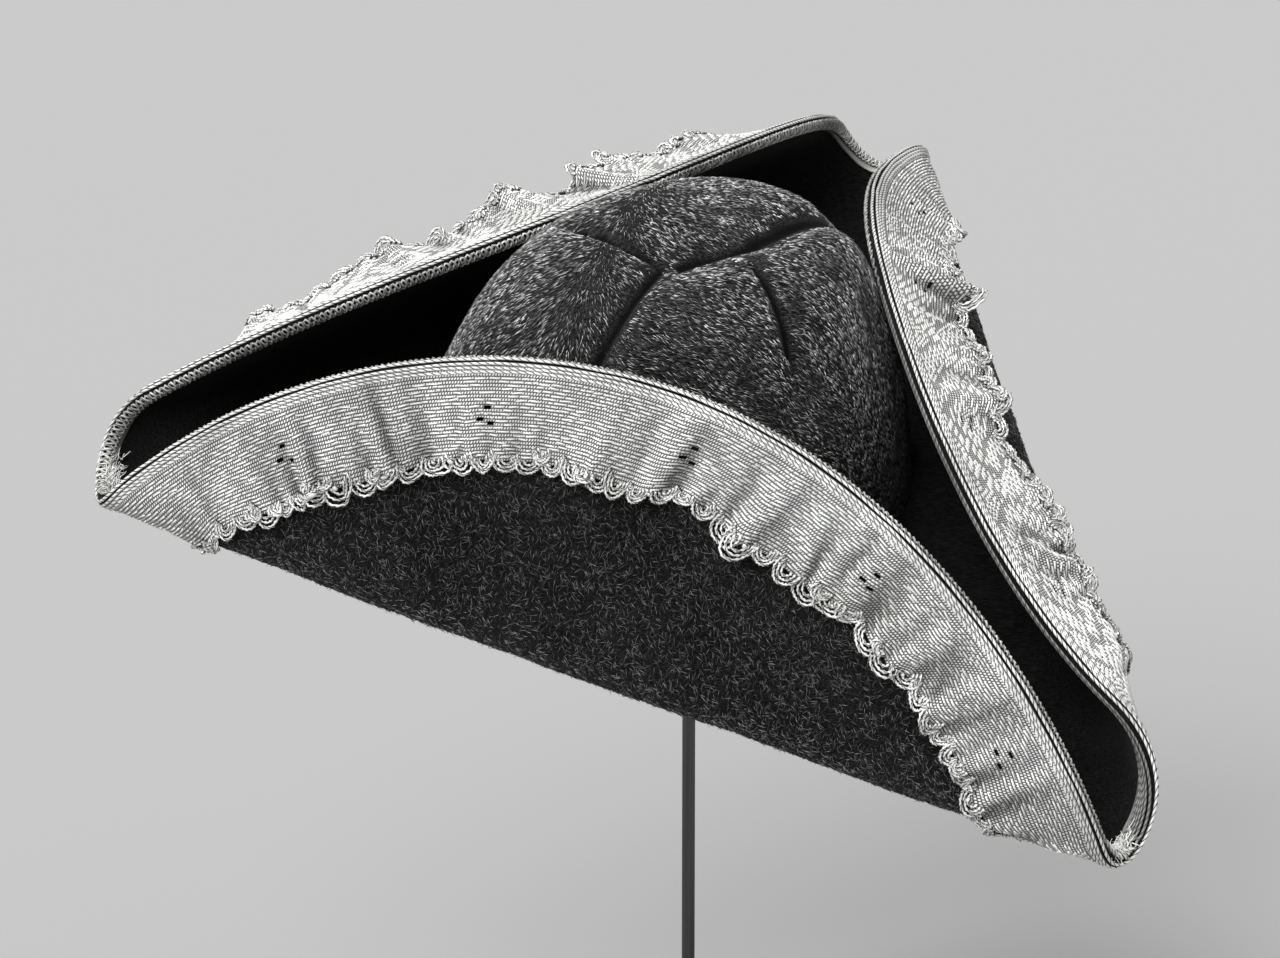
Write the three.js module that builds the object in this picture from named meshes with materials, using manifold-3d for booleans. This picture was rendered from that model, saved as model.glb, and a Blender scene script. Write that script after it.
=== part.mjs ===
// A tricorn hat of napped black felt, its edge bound with silver lace, on a plain round stand.
// Millimetres, +Z up, the front flap towards -Y. The origin is the middle of the stand's foot.
import * as THREE from 'three';
import { mergeVertices } from 'three/addons/utils/BufferGeometryUtils.js';
import Module from 'manifold-3d';

const degrees = THREE.MathUtils.degToRad;

// The felt is one blocked piece: the hollow for the head and the width of the brim drive it
const FELT_WALL = 3;
const HOLLOW_HALF_WIDTH = 77;
const HOLLOW_HALF_LENGTH = 101;
const HOLLOW_TURN = degrees(-41);
const CROWN_HEIGHT = 122;
const CROWN_CENTRE_X = -6;
const CROWN_CENTRE_Y = -10.5;
const CROWN_FLATNESS = 0.5;
const CROWN_ROUNDING = 1.2;
const BAND_BEND = 7;
const BRIM_WIDTH = 143;

// The model's felt is cut at the foot of the crown and at the three corners of the brim
const FELT_CUT = 0.3;

// The crown's soft dents: a share of the half length deep, pressed in from one direction
const SIDE_DENTS = [
  { name: 'under the right flap', direction: degrees(24), depth: 0.085, spread: degrees(25) },
  { name: 'under the back flap', direction: degrees(150), depth: 0.02, spread: degrees(40) },
];

// Furrows across the top of the crown, from and to in shares of the half length about its centre
const FURROWS = [
  { fromX: -0.41, fromY: -0.07, toX: -0.07, toY: -0.18, depth: 0.035, width: 0.05 },
  { fromX: -0.07, fromY: -0.18, toX: -0.15, toY: -0.64, depth: 0.035, width: 0.05 },
  { fromX: -0.02, fromY: -0.14, toX: 0.19, toY: 0.13, depth: 0.05, width: 0.08 },
  { fromX: 0.19, fromY: 0.13, toX: 0.38, toY: 0.56, depth: 0.05, width: 0.08 },
  { fromX: 0.21, fromY: 0.0, toX: 0.46, toY: -0.26, depth: 0.03, width: 0.05 },
];

// The three flaps: ease, bow and bend are shares of the brim's width.
// Ease lies between the crown's foot and the fold, bow curves the fold, bend is its radius,
// rest is the gap left between the flap's edge and the crown, and twist is the lean that a
// flap gains towards its two ends.
const FLAPS = [
  {
    name: 'front', direction: degrees(-93),
    ease: 0.08, bow: -0.014, bend: 0.108, rest: 0.28, twist: degrees(-21),
  },
  {
    name: 'right', direction: degrees(29.6),
    ease: 0.098, bow: 0.053, bend: 0.162, rest: 0.062, twist: degrees(23),
  },
  {
    name: 'back_left', direction: degrees(147.3),
    ease: 0.161, bow: 0.015, bend: 0.137, rest: 0.045, twist: degrees(-10),
  },
];
const LEAST_LEAN = degrees(20);
const MOST_LEAN = degrees(150);

// How the flat brim was cut off round: shares of its radius
const CUT_COS = 0.034;
const CUT_SIN = -0.056;
const CUT_COS_TWICE = -0.016;
const CUT_SIN_TWICE = -0.028;

// The lace lies along the outer side of the edge and is turned over it to the inner side
const LACE_WIDTH = 42;
const LACE_THICKNESS = 1;
const LACE_TURNOVER = 6;
const LACE_CLEARANCE = 0.5;
const LACE_ROWS = [0.4, 0.7, 1];

// Gathers of the lace's free edge: flare and swell are shares of the lace's width
const GATHERS = [
  { flap: 'front', flare: 0.06, swell: 0.05, waves: 10, shift: 0.2 },
  { flap: 'right', flare: 0.2, swell: 0.1, waves: 8, shift: 0.6 },
  { flap: 'back_left', flare: 0.34, swell: 0.11, waves: 9, shift: 0.4 },
];
const GATHER_MIX = 0.45;
const GATHER_OFFBEAT = 0.37;
const GATHER_SPREAD = 1.5;
const GATHER_EASE = 1.4;

// The hat's pose on its stand, and the stand
const HAT_TURN = degrees(-15.9);
const HAT_TILT = degrees(25.1);
const HAT_ROLL = degrees(7.2);
const SEAT_SHARE = 0.82;
const SEAT_HEIGHT = 350;
const HEAD_REACH = 0.52;
const HEAD_EDGE = 12;
const HEAD_CLEARANCE = 0.5;
const FOOT_RADIUS = 85;
const FOOT_HEIGHT = 9;
const FOOT_ROUND = 1.5;
const ROD_RADIUS = 2.5;
const ROD_FIT = 0.3;
const SOCKET_DEPTH = 15;
const FOOT_SOCKET_FLOOR = 3;

// Fineness of the faceted surfaces
const FLAP_COLUMNS = 38;
const COLUMN_CROWDING = 0.35;
const CORNER_COLUMNS = 5;
const CROWN_ROWS = 8;
const BAND_ROWS = 2;
const FOLD_ROWS = 4;
const ROW_SPACE = 0.09;
const HEAD_ROWS = 4;
const ROUND_SIDES = 32;
const ROD_SIDES = 16;

const crownHalfWidth = HOLLOW_HALF_WIDTH + FELT_WALL / 2;
const crownHalfLength = HOLLOW_HALF_LENGTH + FELT_WALL / 2;
const brimRadius = (crownHalfWidth + crownHalfLength) / 2 + FELT_WALL / 2 + BRIM_WIDTH;

// Crown

function angleBetween(a, b) {
  return Math.atan2(Math.sin(a - b), Math.cos(a - b));
}

function ovalRadius(angle) {
  const across = Math.cos(angle - HOLLOW_TURN) / crownHalfWidth;
  const along = Math.sin(angle - HOLLOW_TURN) / crownHalfLength;
  return 1 / Math.hypot(across, along);
}

function sideDent(angle, fall) {
  let dent = 0;
  for (const { direction, depth, spread } of SIDE_DENTS) {
    const near = Math.exp(-((angleBetween(angle, direction) / spread) ** 2));
    dent += depth * crownHalfLength * near * Math.sin(2 * fall) ** 2;
  }
  return dent;
}

// Fall runs from 0 at the top of the crown to a quarter turn at its foot
function crownRadius(angle, fall) {
  return ovalRadius(angle) * Math.sin(fall) ** CROWN_FLATNESS - sideDent(angle, fall);
}

function crownLevel(fall) {
  return CROWN_HEIGHT * Math.cos(fall) ** CROWN_ROUNDING;
}

function fallAtLevel(level) {
  return Math.acos(THREE.MathUtils.clamp(level / CROWN_HEIGHT, 0, 1) ** (1 / CROWN_ROUNDING));
}

function furrowDepth(x, y) {
  let depth = 0;
  for (const furrow of FURROWS) {
    const start = new THREE.Vector2(furrow.fromX, furrow.fromY).multiplyScalar(crownHalfLength);
    const run = new THREE.Vector2(furrow.toX, furrow.toY).multiplyScalar(crownHalfLength).sub(start);
    const spot = new THREE.Vector2(x, y).sub(start);
    const along = THREE.MathUtils.clamp(spot.dot(run) / run.lengthSq(), 0, 1);
    const away = spot.sub(run.multiplyScalar(along)).length() / (furrow.width * crownHalfLength);
    depth = Math.max(depth, furrow.depth * crownHalfLength * Math.exp(-away * away));
  }
  return depth;
}

function aroundCrown(angle, radius, level) {
  const x = CROWN_CENTRE_X + radius * Math.cos(angle);
  const y = CROWN_CENTRE_Y + radius * Math.sin(angle);
  return new THREE.Vector3(x, y, level);
}

function crownPoint(angle, fall) {
  const radius = crownRadius(angle, fall);
  const furrow = furrowDepth(radius * Math.cos(angle), radius * Math.sin(angle));
  return aroundCrown(angle, radius, crownLevel(fall) - furrow * Math.cos(fall));
}

const bandFall = fallAtLevel(BAND_BEND);

function footPoint(angle, outward, level) {
  return aroundCrown(angle, crownRadius(angle, bandFall) + outward, level);
}

// Flaps

function brimEdgeRadius(angle) {
  const once = CUT_COS * Math.cos(angle) + CUT_SIN * Math.sin(angle);
  const twice = CUT_COS_TWICE * Math.cos(2 * angle) + CUT_SIN_TWICE * Math.sin(2 * angle);
  return brimRadius * (1 + once + twice);
}

function crownReach(direction, fall) {
  const centre = CROWN_CENTRE_X * Math.cos(direction) + CROWN_CENTRE_Y * Math.sin(direction);
  return crownRadius(direction, fall) + centre;
}

// The support distance of the crown's oval foot in one direction
function footReach(direction) {
  const across = crownHalfWidth * Math.cos(direction - HOLLOW_TURN);
  const along = crownHalfLength * Math.sin(direction - HOLLOW_TURN);
  const centre = CROWN_CENTRE_X * Math.cos(direction) + CROWN_CENTRE_Y * Math.sin(direction);
  return Math.hypot(across, along) + centre;
}

// A strip of the brim bent round the fold, then straight on at its lean
function bentStrip(length, bend, lean) {
  const turned = THREE.MathUtils.clamp(length / bend, 0, lean);
  const straight = Math.max(length - bend * lean, 0);
  return {
    out: bend * Math.sin(turned) + straight * Math.cos(lean),
    up: bend * (1 - Math.cos(turned)) + straight * Math.sin(lean),
  };
}

// The lean at which the middle of a flap's edge stops at its rest from the crown
function leanOf(flap) {
  const wanted = flap.rest * BRIM_WIDTH;
  let low = LEAST_LEAN;
  let high = MOST_LEAN;
  while (high - low > degrees(0.01)) {
    const lean = (low + high) / 2;
    const strip = bentStrip(brimEdgeRadius(flap.direction) - flap.distance, flap.bendRadius, lean);
    const crown = crownReach(flap.direction, fallAtLevel(strip.up));
    if (flap.distance + strip.out - crown > wanted) {
      low = lean;
    } else {
      high = lean;
    }
  }
  return low;
}

const flaps = FLAPS.map((row) => {
  const flap = {
    ...row,
    distance: footReach(row.direction) + row.ease * BRIM_WIDTH,
    bowDepth: row.bow * BRIM_WIDTH,
    bendRadius: row.bend * BRIM_WIDTH,
  };
  return { ...flap, lean: leanOf(flap) };
});

// A point of the flat brim, carried by the three folds
function foldedPoint(flat) {
  const folded = flat.clone();
  for (const flap of flaps) {
    const { along, length } = pastFold(flap, flat);
    if (length > 0) {
      const lean = THREE.MathUtils.clamp(flap.lean + flap.twist * along * along, LEAST_LEAN, MOST_LEAN);
      const strip = bentStrip(length, flap.bendRadius, lean);
      folded.x += (strip.out - length) * Math.cos(flap.direction);
      folded.y += (strip.out - length) * Math.sin(flap.direction);
      folded.z += strip.up;
    }
  }
  return folded;
}

function flatBrimPoint(angle, pastEdge) {
  const radius = brimEdgeRadius(angle) + pastEdge;
  return new THREE.Vector3(radius * Math.cos(angle), radius * Math.sin(angle), 0);
}

// Near the edge a place is a length past it, so the lace's zone has places below 0
function edgeZonePoint(angle, pastEdge) {
  return foldedPoint(flatBrimPoint(angle, pastEdge));
}

// Between the crown's foot and the lace a place is a share of the way
function innerBrimPoint(angle, share) {
  return foldedPoint(footPoint(angle, BAND_BEND, 0).lerp(flatBrimPoint(angle, -LACE_WIDTH), share));
}

function innerBrimLength(angle) {
  return footPoint(angle, BAND_BEND, 0).distanceTo(flatBrimPoint(angle, -LACE_WIDTH));
}

// How far past a flap's fold a point of the flat brim lies
function pastFold(flap, flat) {
  const across = new THREE.Vector3(Math.cos(flap.direction), Math.sin(flap.direction), 0);
  const along = across.cross(flat).z / brimRadius;
  const out = flat.x * Math.cos(flap.direction) + flat.y * Math.sin(flap.direction);
  return { along, length: out - flap.distance - flap.bowDepth * along * along };
}

// The rows of the inner brim follow the fold: one at its start and the others round its bend
function innerBrimShare(column, row) {
  const start = pastFold(column.flap, footPoint(column.angle, BAND_BEND, 0)).length;
  const end = pastFold(column.flap, flatBrimPoint(column.angle, -LACE_WIDTH)).length;
  const wanted = (column.flap.lean * column.flap.bendRadius * row) / FOLD_ROWS;
  const rowsLeft = FOLD_ROWS + 1 - row;
  return Math.min((wanted - start) / (end - start), 1 - rowsLeft * ROW_SPACE);
}

// Middle surface of the felt with its unit normal and the way round, from near neighbours

const ANGLE_STEP = 1e-3;
const PLACE_STEP = 1e-3;

function surfaceSample(pointAt, angle, place) {
  const around = pointAt(angle + ANGLE_STEP, place).sub(pointAt(angle - ANGLE_STEP, place));
  const along = pointAt(angle, place + PLACE_STEP).sub(pointAt(angle, place - PLACE_STEP));
  const normal = along.cross(around).normalize();
  return { point: pointAt(angle, place), normal, around: around.normalize() };
}

const crownAt = (angle, share) => crownPoint(angle, bandFall * share * share);
const bandAt = (angle, share) => {
  const turn = (share * Math.PI) / 2;
  return footPoint(angle, BAND_BEND * (1 - Math.cos(turn)), BAND_BEND * (1 - Math.sin(turn)));
};

// The lace's zone has the same rows in the felt and in the lace, given by their fall from the edge
const laceFalls = [LACE_TURNOVER, ...LACE_ROWS.map((share) => share * LACE_WIDTH)];

// Columns of the brim: each flap's columns run from corner to corner and crowd at the corners

function cornerAfter(index) {
  const here = flaps[index].direction;
  const next = flaps[(index + 1) % flaps.length].direction;
  return here + angleBetween(next, here) / 2;
}

function brimColumns() {
  const columns = [];
  flaps.forEach((flap, index) => {
    const start = cornerAfter((index + flaps.length - 1) % flaps.length);
    const span = 2 * angleBetween(flap.direction, start);
    const end = start + angleBetween(cornerAfter(index), start + span) + span;
    for (let step = 0; step < FLAP_COLUMNS; step += 1) {
      const even = step / FLAP_COLUMNS;
      const share = even - (COLUMN_CROWDING * Math.sin(2 * Math.PI * even)) / (2 * Math.PI);
      columns.push({ flap, share: even, angle: start + (end - start) * share });
    }
  });
  return columns;
}

const columns = brimColumns();
const crownColumns = columns.filter((column, index) => index % 2 === 0);

function sampleRow(rowColumns, pointAt, place) {
  return rowColumns.map((column) => surfaceSample(pointAt, column.angle, place));
}

function offsetRow(row, distance) {
  return row.map(({ point, normal }) => point.clone().addScaledVector(normal, distance));
}

// A closed skin over rows of points: a single point is a pole, a row may have twice the points
// of the one before or after it, and a looped skin joins its last row to its first. The second
// half of a looped skin lies under the first, and its facets follow the same diagonals.

function stitch(rows, looped) {
  const points = rows.flat();
  const starts = [];
  rows.reduce((total, row, index) => {
    starts[index] = total;
    return total + row.length;
  }, 0);
  const triangles = [];
  const lastRow = looped ? rows.length : rows.length - 1;
  for (let index = 0; index < lastRow; index += 1) {
    const next = (index + 1) % rows.length;
    const inner = rows[index].length;
    const outer = rows[next].length;
    const a = (step) => starts[index] + (step % inner);
    const b = (step) => starts[next] + (step % outer);
    const steps = Math.min(inner, outer) === 1 ? Math.max(inner, outer) : Math.min(inner, outer);
    for (let step = 0; step < steps; step += 1) {
      if (inner === 1) {
        triangles.push(a(0), b(step), b(step + 1));
      } else if (outer === 1) {
        triangles.push(a(step), b(0), a(step + 1));
      } else if (inner === outer && looped && index >= rows.length / 2) {
        triangles.push(a(step), b(step), a(step + 1));
        triangles.push(a(step + 1), b(step), b(step + 1));
      } else if (inner === outer) {
        triangles.push(a(step), b(step), b(step + 1));
        triangles.push(a(step), b(step + 1), a(step + 1));
      } else if (outer === 2 * inner) {
        triangles.push(a(step), b(2 * step), b(2 * step + 1));
        triangles.push(a(step), b(2 * step + 1), a(step + 1));
        triangles.push(a(step + 1), b(2 * step + 1), b(2 * step + 2));
      } else {
        triangles.push(b(step), b(step + 1), a(2 * step + 1));
        triangles.push(b(step), a(2 * step + 1), a(2 * step));
        triangles.push(b(step + 1), a(2 * step + 2), a(2 * step + 1));
      }
    }
  }
  const geometry = new THREE.BufferGeometry().setFromPoints(points);
  geometry.setIndex(triangles);
  geometry.computeVertexNormals();
  return geometry;
}

// A closed slab between two skins over the same open rows, with its four side walls. The facets
// of each skin follow the lace's, so the two lie at one clearance.

function slab(upper, lower) {
  const height = upper.length;
  const width = upper[0].length;
  const triangles = [];
  const top = (row, column) => row * width + column;
  const under = (row, column) => (height + row) * width + column;
  const quad = (a, b, c, d) => triangles.push(a, b, c, a, c, d);
  for (let row = 0; row < height - 1; row += 1) {
    for (let column = 0; column < width - 1; column += 1) {
      quad(top(row, column), top(row + 1, column), top(row + 1, column + 1), top(row, column + 1));
      quad(under(row + 1, column), under(row, column), under(row, column + 1), under(row + 1, column + 1));
    }
    quad(top(row, 0), under(row, 0), under(row + 1, 0), top(row + 1, 0));
    quad(top(row, width - 1), top(row + 1, width - 1), under(row + 1, width - 1), under(row, width - 1));
  }
  for (let column = 0; column < width - 1; column += 1) {
    quad(top(0, column), top(0, column + 1), under(0, column + 1), under(0, column));
    quad(top(height - 1, column + 1), top(height - 1, column), under(height - 1, column),
      under(height - 1, column + 1));
  }
  const geometry = new THREE.BufferGeometry().setFromPoints([...upper.flat(), ...lower.flat()]);
  geometry.setIndex(triangles);
  geometry.computeVertexNormals();
  return geometry;
}

// The crown: its upper skin from the top to the foot of the band, then its lower one back

function crownGeometry() {
  const samples = [];
  for (let row = 1; row <= CROWN_ROWS; row += 1) {
    samples.push(sampleRow(crownColumns, crownAt, row / CROWN_ROWS));
  }
  const lastShare = 1 - FELT_CUT / (Math.PI * BAND_BEND);
  for (let row = 1; row <= BAND_ROWS; row += 1) {
    samples.push(sampleRow(crownColumns, bandAt, (lastShare * row) / BAND_ROWS));
  }
  const top = crownPoint(0, 0);
  const lift = new THREE.Vector3(0, 0, FELT_WALL / 2);
  const upper = samples.map((row) => offsetRow(row, FELT_WALL / 2));
  const lower = samples.map((row) => offsetRow(row, -FELT_WALL / 2)).reverse();
  return stitch([[top.clone().add(lift)], ...upper, ...lower, [top.clone().sub(lift)]], false);
}

// A flap's own columns, with the corner at each end

function flapColumns(flap) {
  const first = columns.findIndex((column) => column.flap === flap);
  const own = columns.slice(first, first + FLAP_COLUMNS);
  const corner = columns[(first + FLAP_COLUMNS) % columns.length];
  const end = { flap, share: 1, angle: own[0].angle + angleBetween(corner.angle, own[0].angle) };
  return [...own, end];
}

// The points of a skin near a corner stay half a cut back from the plane that halves the corner

function trimAtCorners(row, skin) {
  [[row[0], 1, 0], [row.at(-1), -1, row.length - CORNER_COLUMNS]].forEach(([corner, side, first]) => {
    for (const point of skin.slice(first, first + CORNER_COLUMNS)) {
      const behind = point.clone().sub(corner.point).dot(corner.around) * side;
      point.addScaledVector(corner.around, side * Math.max(FELT_CUT / 2 - behind, 0));
    }
  });
  return skin;
}

function flapGeometry(flap) {
  const own = flapColumns(flap);
  const rowAt = (pointAt, placeOf) =>
    own.map((column) => surfaceSample(pointAt, column.angle, placeOf(column)));
  const innerRow = (placeOf) => rowAt(innerBrimPoint, placeOf);
  const samples = [innerRow((column) => FELT_CUT / 2 / innerBrimLength(column.angle))];
  for (let row = 0; row <= FOLD_ROWS; row += 1) {
    samples.push(innerRow((column) => innerBrimShare(column, row)));
  }
  samples.push(innerRow(() => 1));
  for (const fall of [0, ...laceFalls.slice(0, -1)].reverse()) {
    samples.push(rowAt(edgeZonePoint, () => -fall));
  }
  const skin = (side) => samples.map((row) => trimAtCorners(row, offsetRow(row, side)));
  return slab(skin(FELT_WALL / 2), skin(-FELT_WALL / 2));
}

// The lace: a closed band whose outer side flares and swells towards its free edge

function gatherAt(column) {
  const row = GATHERS.find((gather) => gather.flap === column.flap.name);
  const fullness = Math.sin(Math.PI * column.share) ** GATHER_EASE;
  const turn = 2 * Math.PI * (row.waves * column.share + row.shift);
  const offbeat = Math.cos(turn * GATHER_OFFBEAT);
  const wave = Math.sin(turn + GATHER_MIX * offbeat) * (1 - GATHER_MIX * offbeat * offbeat);
  return LACE_WIDTH * fullness * (row.flare + row.swell * wave);
}

function laceGeometry() {
  const innerFace = FELT_WALL / 2 + LACE_CLEARANCE;
  const outerFace = innerFace + LACE_THICKNESS;
  const edge = sampleRow(columns, edgeZonePoint, 0);
  const turnover = sampleRow(columns, edgeZonePoint, -LACE_TURNOVER);
  const edgeRow = (side, past) => edge.map(({ point, normal }, index) => {
    const outward = point.clone().sub(turnover[index].point).setLength(past);
    return point.clone().addScaledVector(normal, side).add(outward);
  });
  const fallingRow = (fall, face) => {
    const fullness = (fall / LACE_WIDTH) ** GATHER_SPREAD;
    return sampleRow(columns, edgeZonePoint, -fall).map(({ point, normal }, index) =>
      point.clone().addScaledVector(normal, -face - gatherAt(columns[index]) * fullness));
  };
  return stitch([
    offsetRow(turnover, outerFace),
    edgeRow(outerFace, LACE_CLEARANCE + LACE_THICKNESS),
    edgeRow(-outerFace, LACE_CLEARANCE + LACE_THICKNESS),
    ...laceFalls.map((fall) => fallingRow(fall, outerFace)),
    ...laceFalls.map((fall) => fallingRow(fall, innerFace)).reverse(),
    edgeRow(-innerFace, LACE_CLEARANCE),
    edgeRow(innerFace, LACE_CLEARANCE),
    offsetRow(turnover, innerFace),
  ], true);
}

// The hat's group, whose seat point lies over the rod

const hat = new THREE.Group();
hat.rotation.set(HAT_TILT, HAT_ROLL, HAT_TURN, 'YXZ');
const seat = new THREE.Vector3(CROWN_CENTRE_X, CROWN_CENTRE_Y, CROWN_HEIGHT * SEAT_SHARE);
seat.applyEuler(hat.rotation);
hat.position.set(-seat.x, -seat.y, SEAT_HEIGHT - seat.z);
hat.updateMatrixWorld(true);

// The stand: a dome that fills the top of the crown, a rod in its socket, and a round foot

const wasm = await Module();
wasm.setup();

function toSolid(geometry) {
  const bare = geometry.clone();
  bare.deleteAttribute('normal');
  bare.deleteAttribute('uv');
  const merged = mergeVertices(bare, 1e-4);
  return new wasm.Manifold(new wasm.Mesh({
    numProp: 3,
    vertProperties: new Float32Array(merged.attributes.position.array),
    triVerts: new Uint32Array(merged.index.array),
  }));
}

function toGeometry(solid) {
  const mesh = solid.getMesh();
  const geometry = new THREE.BufferGeometry();
  geometry.setAttribute('position', new THREE.BufferAttribute(mesh.vertProperties, 3));
  geometry.setIndex(new THREE.BufferAttribute(mesh.triVerts, 1));
  geometry.computeVertexNormals();
  return geometry;
}

// The dome keeps clear of the deepest furrow above it
const deepestFurrow = crownHalfLength * Math.max(...FURROWS.map((furrow) => furrow.depth));
const domePoint = (angle, share) => {
  const fall = bandFall * share * share;
  return aroundCrown(angle, crownRadius(angle, fall), crownLevel(fall) - deepestFurrow);
};
const domeFloor = crownLevel(bandFall * HEAD_REACH ** 2) - deepestFurrow - HEAD_EDGE;
const domeFloorMiddle = new THREE.Vector3(CROWN_CENTRE_X, CROWN_CENTRE_Y, domeFloor);
const socketTop = domeFloorMiddle.clone().applyMatrix4(hat.matrixWorld).z + SOCKET_DEPTH;

function domeGeometry() {
  const inside = -(FELT_WALL / 2 + HEAD_CLEARANCE);
  const rows = [];
  for (let row = 1; row <= HEAD_ROWS; row += 1) {
    rows.push(offsetRow(sampleRow(crownColumns, domePoint, (HEAD_REACH * row) / HEAD_ROWS), inside));
  }
  const top = aroundCrown(0, 0, CROWN_HEIGHT - deepestFurrow + inside);
  const under = rows[HEAD_ROWS - 1].map((point) => new THREE.Vector3(point.x, point.y, domeFloor));
  const dome = stitch([[top], ...rows, under, [domeFloorMiddle]], false);
  dome.applyMatrix4(hat.matrixWorld);
  const bore = new THREE.CylinderGeometry(ROD_RADIUS + ROD_FIT, ROD_RADIUS + ROD_FIT, socketTop, ROD_SIDES);
  bore.rotateX(Math.PI / 2);
  bore.translate(0, 0, socketTop / 2);
  return toGeometry(toSolid(dome).subtract(toSolid(bore)));
}

function rodGeometry() {
  const low = FOOT_SOCKET_FLOOR + ROD_FIT;
  const high = socketTop - ROD_FIT;
  const rod = new THREE.CylinderGeometry(ROD_RADIUS, ROD_RADIUS, high - low, ROD_SIDES);
  rod.rotateX(Math.PI / 2);
  rod.translate(0, 0, (low + high) / 2);
  return rod;
}

function footGeometry() {
  const bore = ROD_RADIUS + ROD_FIT;
  const profile = [
    new THREE.Vector2(0, 0),
    new THREE.Vector2(FOOT_RADIUS, 0),
    new THREE.Vector2(FOOT_RADIUS, FOOT_HEIGHT - FOOT_ROUND),
    new THREE.Vector2(FOOT_RADIUS - FOOT_ROUND, FOOT_HEIGHT),
    new THREE.Vector2(bore, FOOT_HEIGHT),
    new THREE.Vector2(bore, FOOT_SOCKET_FLOOR),
    new THREE.Vector2(0, FOOT_SOCKET_FLOOR),
  ];
  const foot = new THREE.LatheGeometry(profile, ROUND_SIDES);
  foot.rotateX(Math.PI / 2);
  return foot;
}

// Materials

const felt = new THREE.MeshStandardMaterial({ color: '#232323', roughness: 0.95, metalness: 0 });
const silverLace = new THREE.MeshStandardMaterial({ color: '#bcbcba', roughness: 0.5, metalness: 0.3 });
const steel = new THREE.MeshStandardMaterial({ color: '#565656', roughness: 0.25, metalness: 1 });
const padding = new THREE.MeshStandardMaterial({ color: '#d8d6d0', roughness: 0.9, metalness: 0 });

function namedMesh(name, geometry, material) {
  const mesh = new THREE.Mesh(geometry, material);
  mesh.name = name;
  return mesh;
}

hat.add(
  namedMesh('felt_crown', crownGeometry(), felt),
  ...flaps.map((flap) => namedMesh(`felt_flap_${flap.name}`, flapGeometry(flap), felt)),
  namedMesh('lace_band', laceGeometry(), silverLace),
);

const stand = new THREE.Group();
stand.add(
  namedMesh('stand_head', domeGeometry(), padding),
  namedMesh('stand_rod', rodGeometry(), steel),
  namedMesh('stand_foot', footGeometry(), steel),
);

const tricornOnStand = new THREE.Group();
tricornOnStand.add(hat, stand);

export default tricornOnStand;
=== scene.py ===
# %% [markdown]
# A tricorn hat of napped black felt stands on a plain pin stand. Its brim is turned up in three
# flaps, and silver lace is sewn along the outer side of the edge.
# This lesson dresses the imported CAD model: it loads that model as a fixed frame, and then makes
# the felt, the lace and the stand again with the detail that a camera sees from two metres.

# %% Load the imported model
import math

import bpy
import numpy as np
from mathutils import Matrix, Vector


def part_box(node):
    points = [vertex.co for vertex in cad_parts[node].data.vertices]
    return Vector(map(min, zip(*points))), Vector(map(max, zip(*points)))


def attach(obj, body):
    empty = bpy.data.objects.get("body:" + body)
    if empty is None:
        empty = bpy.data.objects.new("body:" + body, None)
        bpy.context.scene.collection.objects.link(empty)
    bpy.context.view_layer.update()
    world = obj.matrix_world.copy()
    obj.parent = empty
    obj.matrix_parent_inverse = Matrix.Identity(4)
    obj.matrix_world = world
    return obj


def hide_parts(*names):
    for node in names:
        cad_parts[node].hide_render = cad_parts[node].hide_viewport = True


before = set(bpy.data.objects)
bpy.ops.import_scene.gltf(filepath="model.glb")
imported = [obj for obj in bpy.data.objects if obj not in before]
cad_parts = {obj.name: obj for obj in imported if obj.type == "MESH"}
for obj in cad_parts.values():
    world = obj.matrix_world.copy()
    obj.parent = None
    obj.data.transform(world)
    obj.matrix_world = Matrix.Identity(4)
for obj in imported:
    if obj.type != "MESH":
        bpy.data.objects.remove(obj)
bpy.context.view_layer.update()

MM = 0.001
print("CAD nodes:", sorted(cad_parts))

# %% [markdown]
# The hat's pose comes first, because the camera and every piece of the hat follow it. The hat is
# turned on its stand, tilted towards the viewer and rolled a little. All the sizes repeat the
# CAD model's, in millimetres.

# %% The hat's pose on the stand
CROWN_HEIGHT = 122
CROWN_CENTRE_X = -6
CROWN_CENTRE_Y = -10.5
HAT_TURN = -15.9
HAT_TILT = 25.1
HAT_ROLL = 7.2
SEAT_SHARE = 0.82
SEAT_HEIGHT = 350


def turning(axis, angle):
    return Matrix.Rotation(math.radians(angle), 3, axis)


hat_turn = np.array(turning("Y", HAT_ROLL) @ turning("X", HAT_TILT) @ turning("Z", HAT_TURN))
seat = np.array((CROWN_CENTRE_X, CROWN_CENTRE_Y, CROWN_HEIGHT * SEAT_SHARE))
hat_origin = np.array((0, 0, SEAT_HEIGHT)) - hat_turn @ seat


def from_hat(points):
    """Points of the hat, in its own millimetres, as places in the scene in metres."""
    return (points @ hat_turn.T + hat_origin) * MM


print("hat origin:", hat_origin.round(2), "mm")

# %% [markdown]
# The camera stands two metres away and looks down a little, with a long lens, as in a studio.
# A long lens keeps the near flap and the far flap at nearly the same scale.

# %% Camera
CAMERA_FROM_HAT = np.array((-16.4, -1985.2, 532.1))
CAMERA_DOWN = 15.0
LENS = 148.508
SENSOR = 36.0

camera_data = bpy.data.cameras.new("camera")
camera_data.lens = LENS
camera_data.sensor_width = SENSOR
camera_data.clip_end = 50
camera = bpy.data.objects.new("camera", camera_data)
bpy.context.scene.collection.objects.link(camera)
camera.location = Vector((hat_origin + CAMERA_FROM_HAT) * MM)
camera.rotation_euler = (math.radians(90 - CAMERA_DOWN), 0, 0)
bpy.context.scene.camera = camera
print("camera at", [round(v, 4) for v in camera.location])

# %% [markdown]
# The studio has one pale floor that runs far back, a wide soft light in front and a smaller one
# above. Wide lights make soft shadows, and the even world light fills the rest. Both lights are
# suns, whose light doesn't fall off, so the floor keeps one tone up to the picture's edge.

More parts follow.
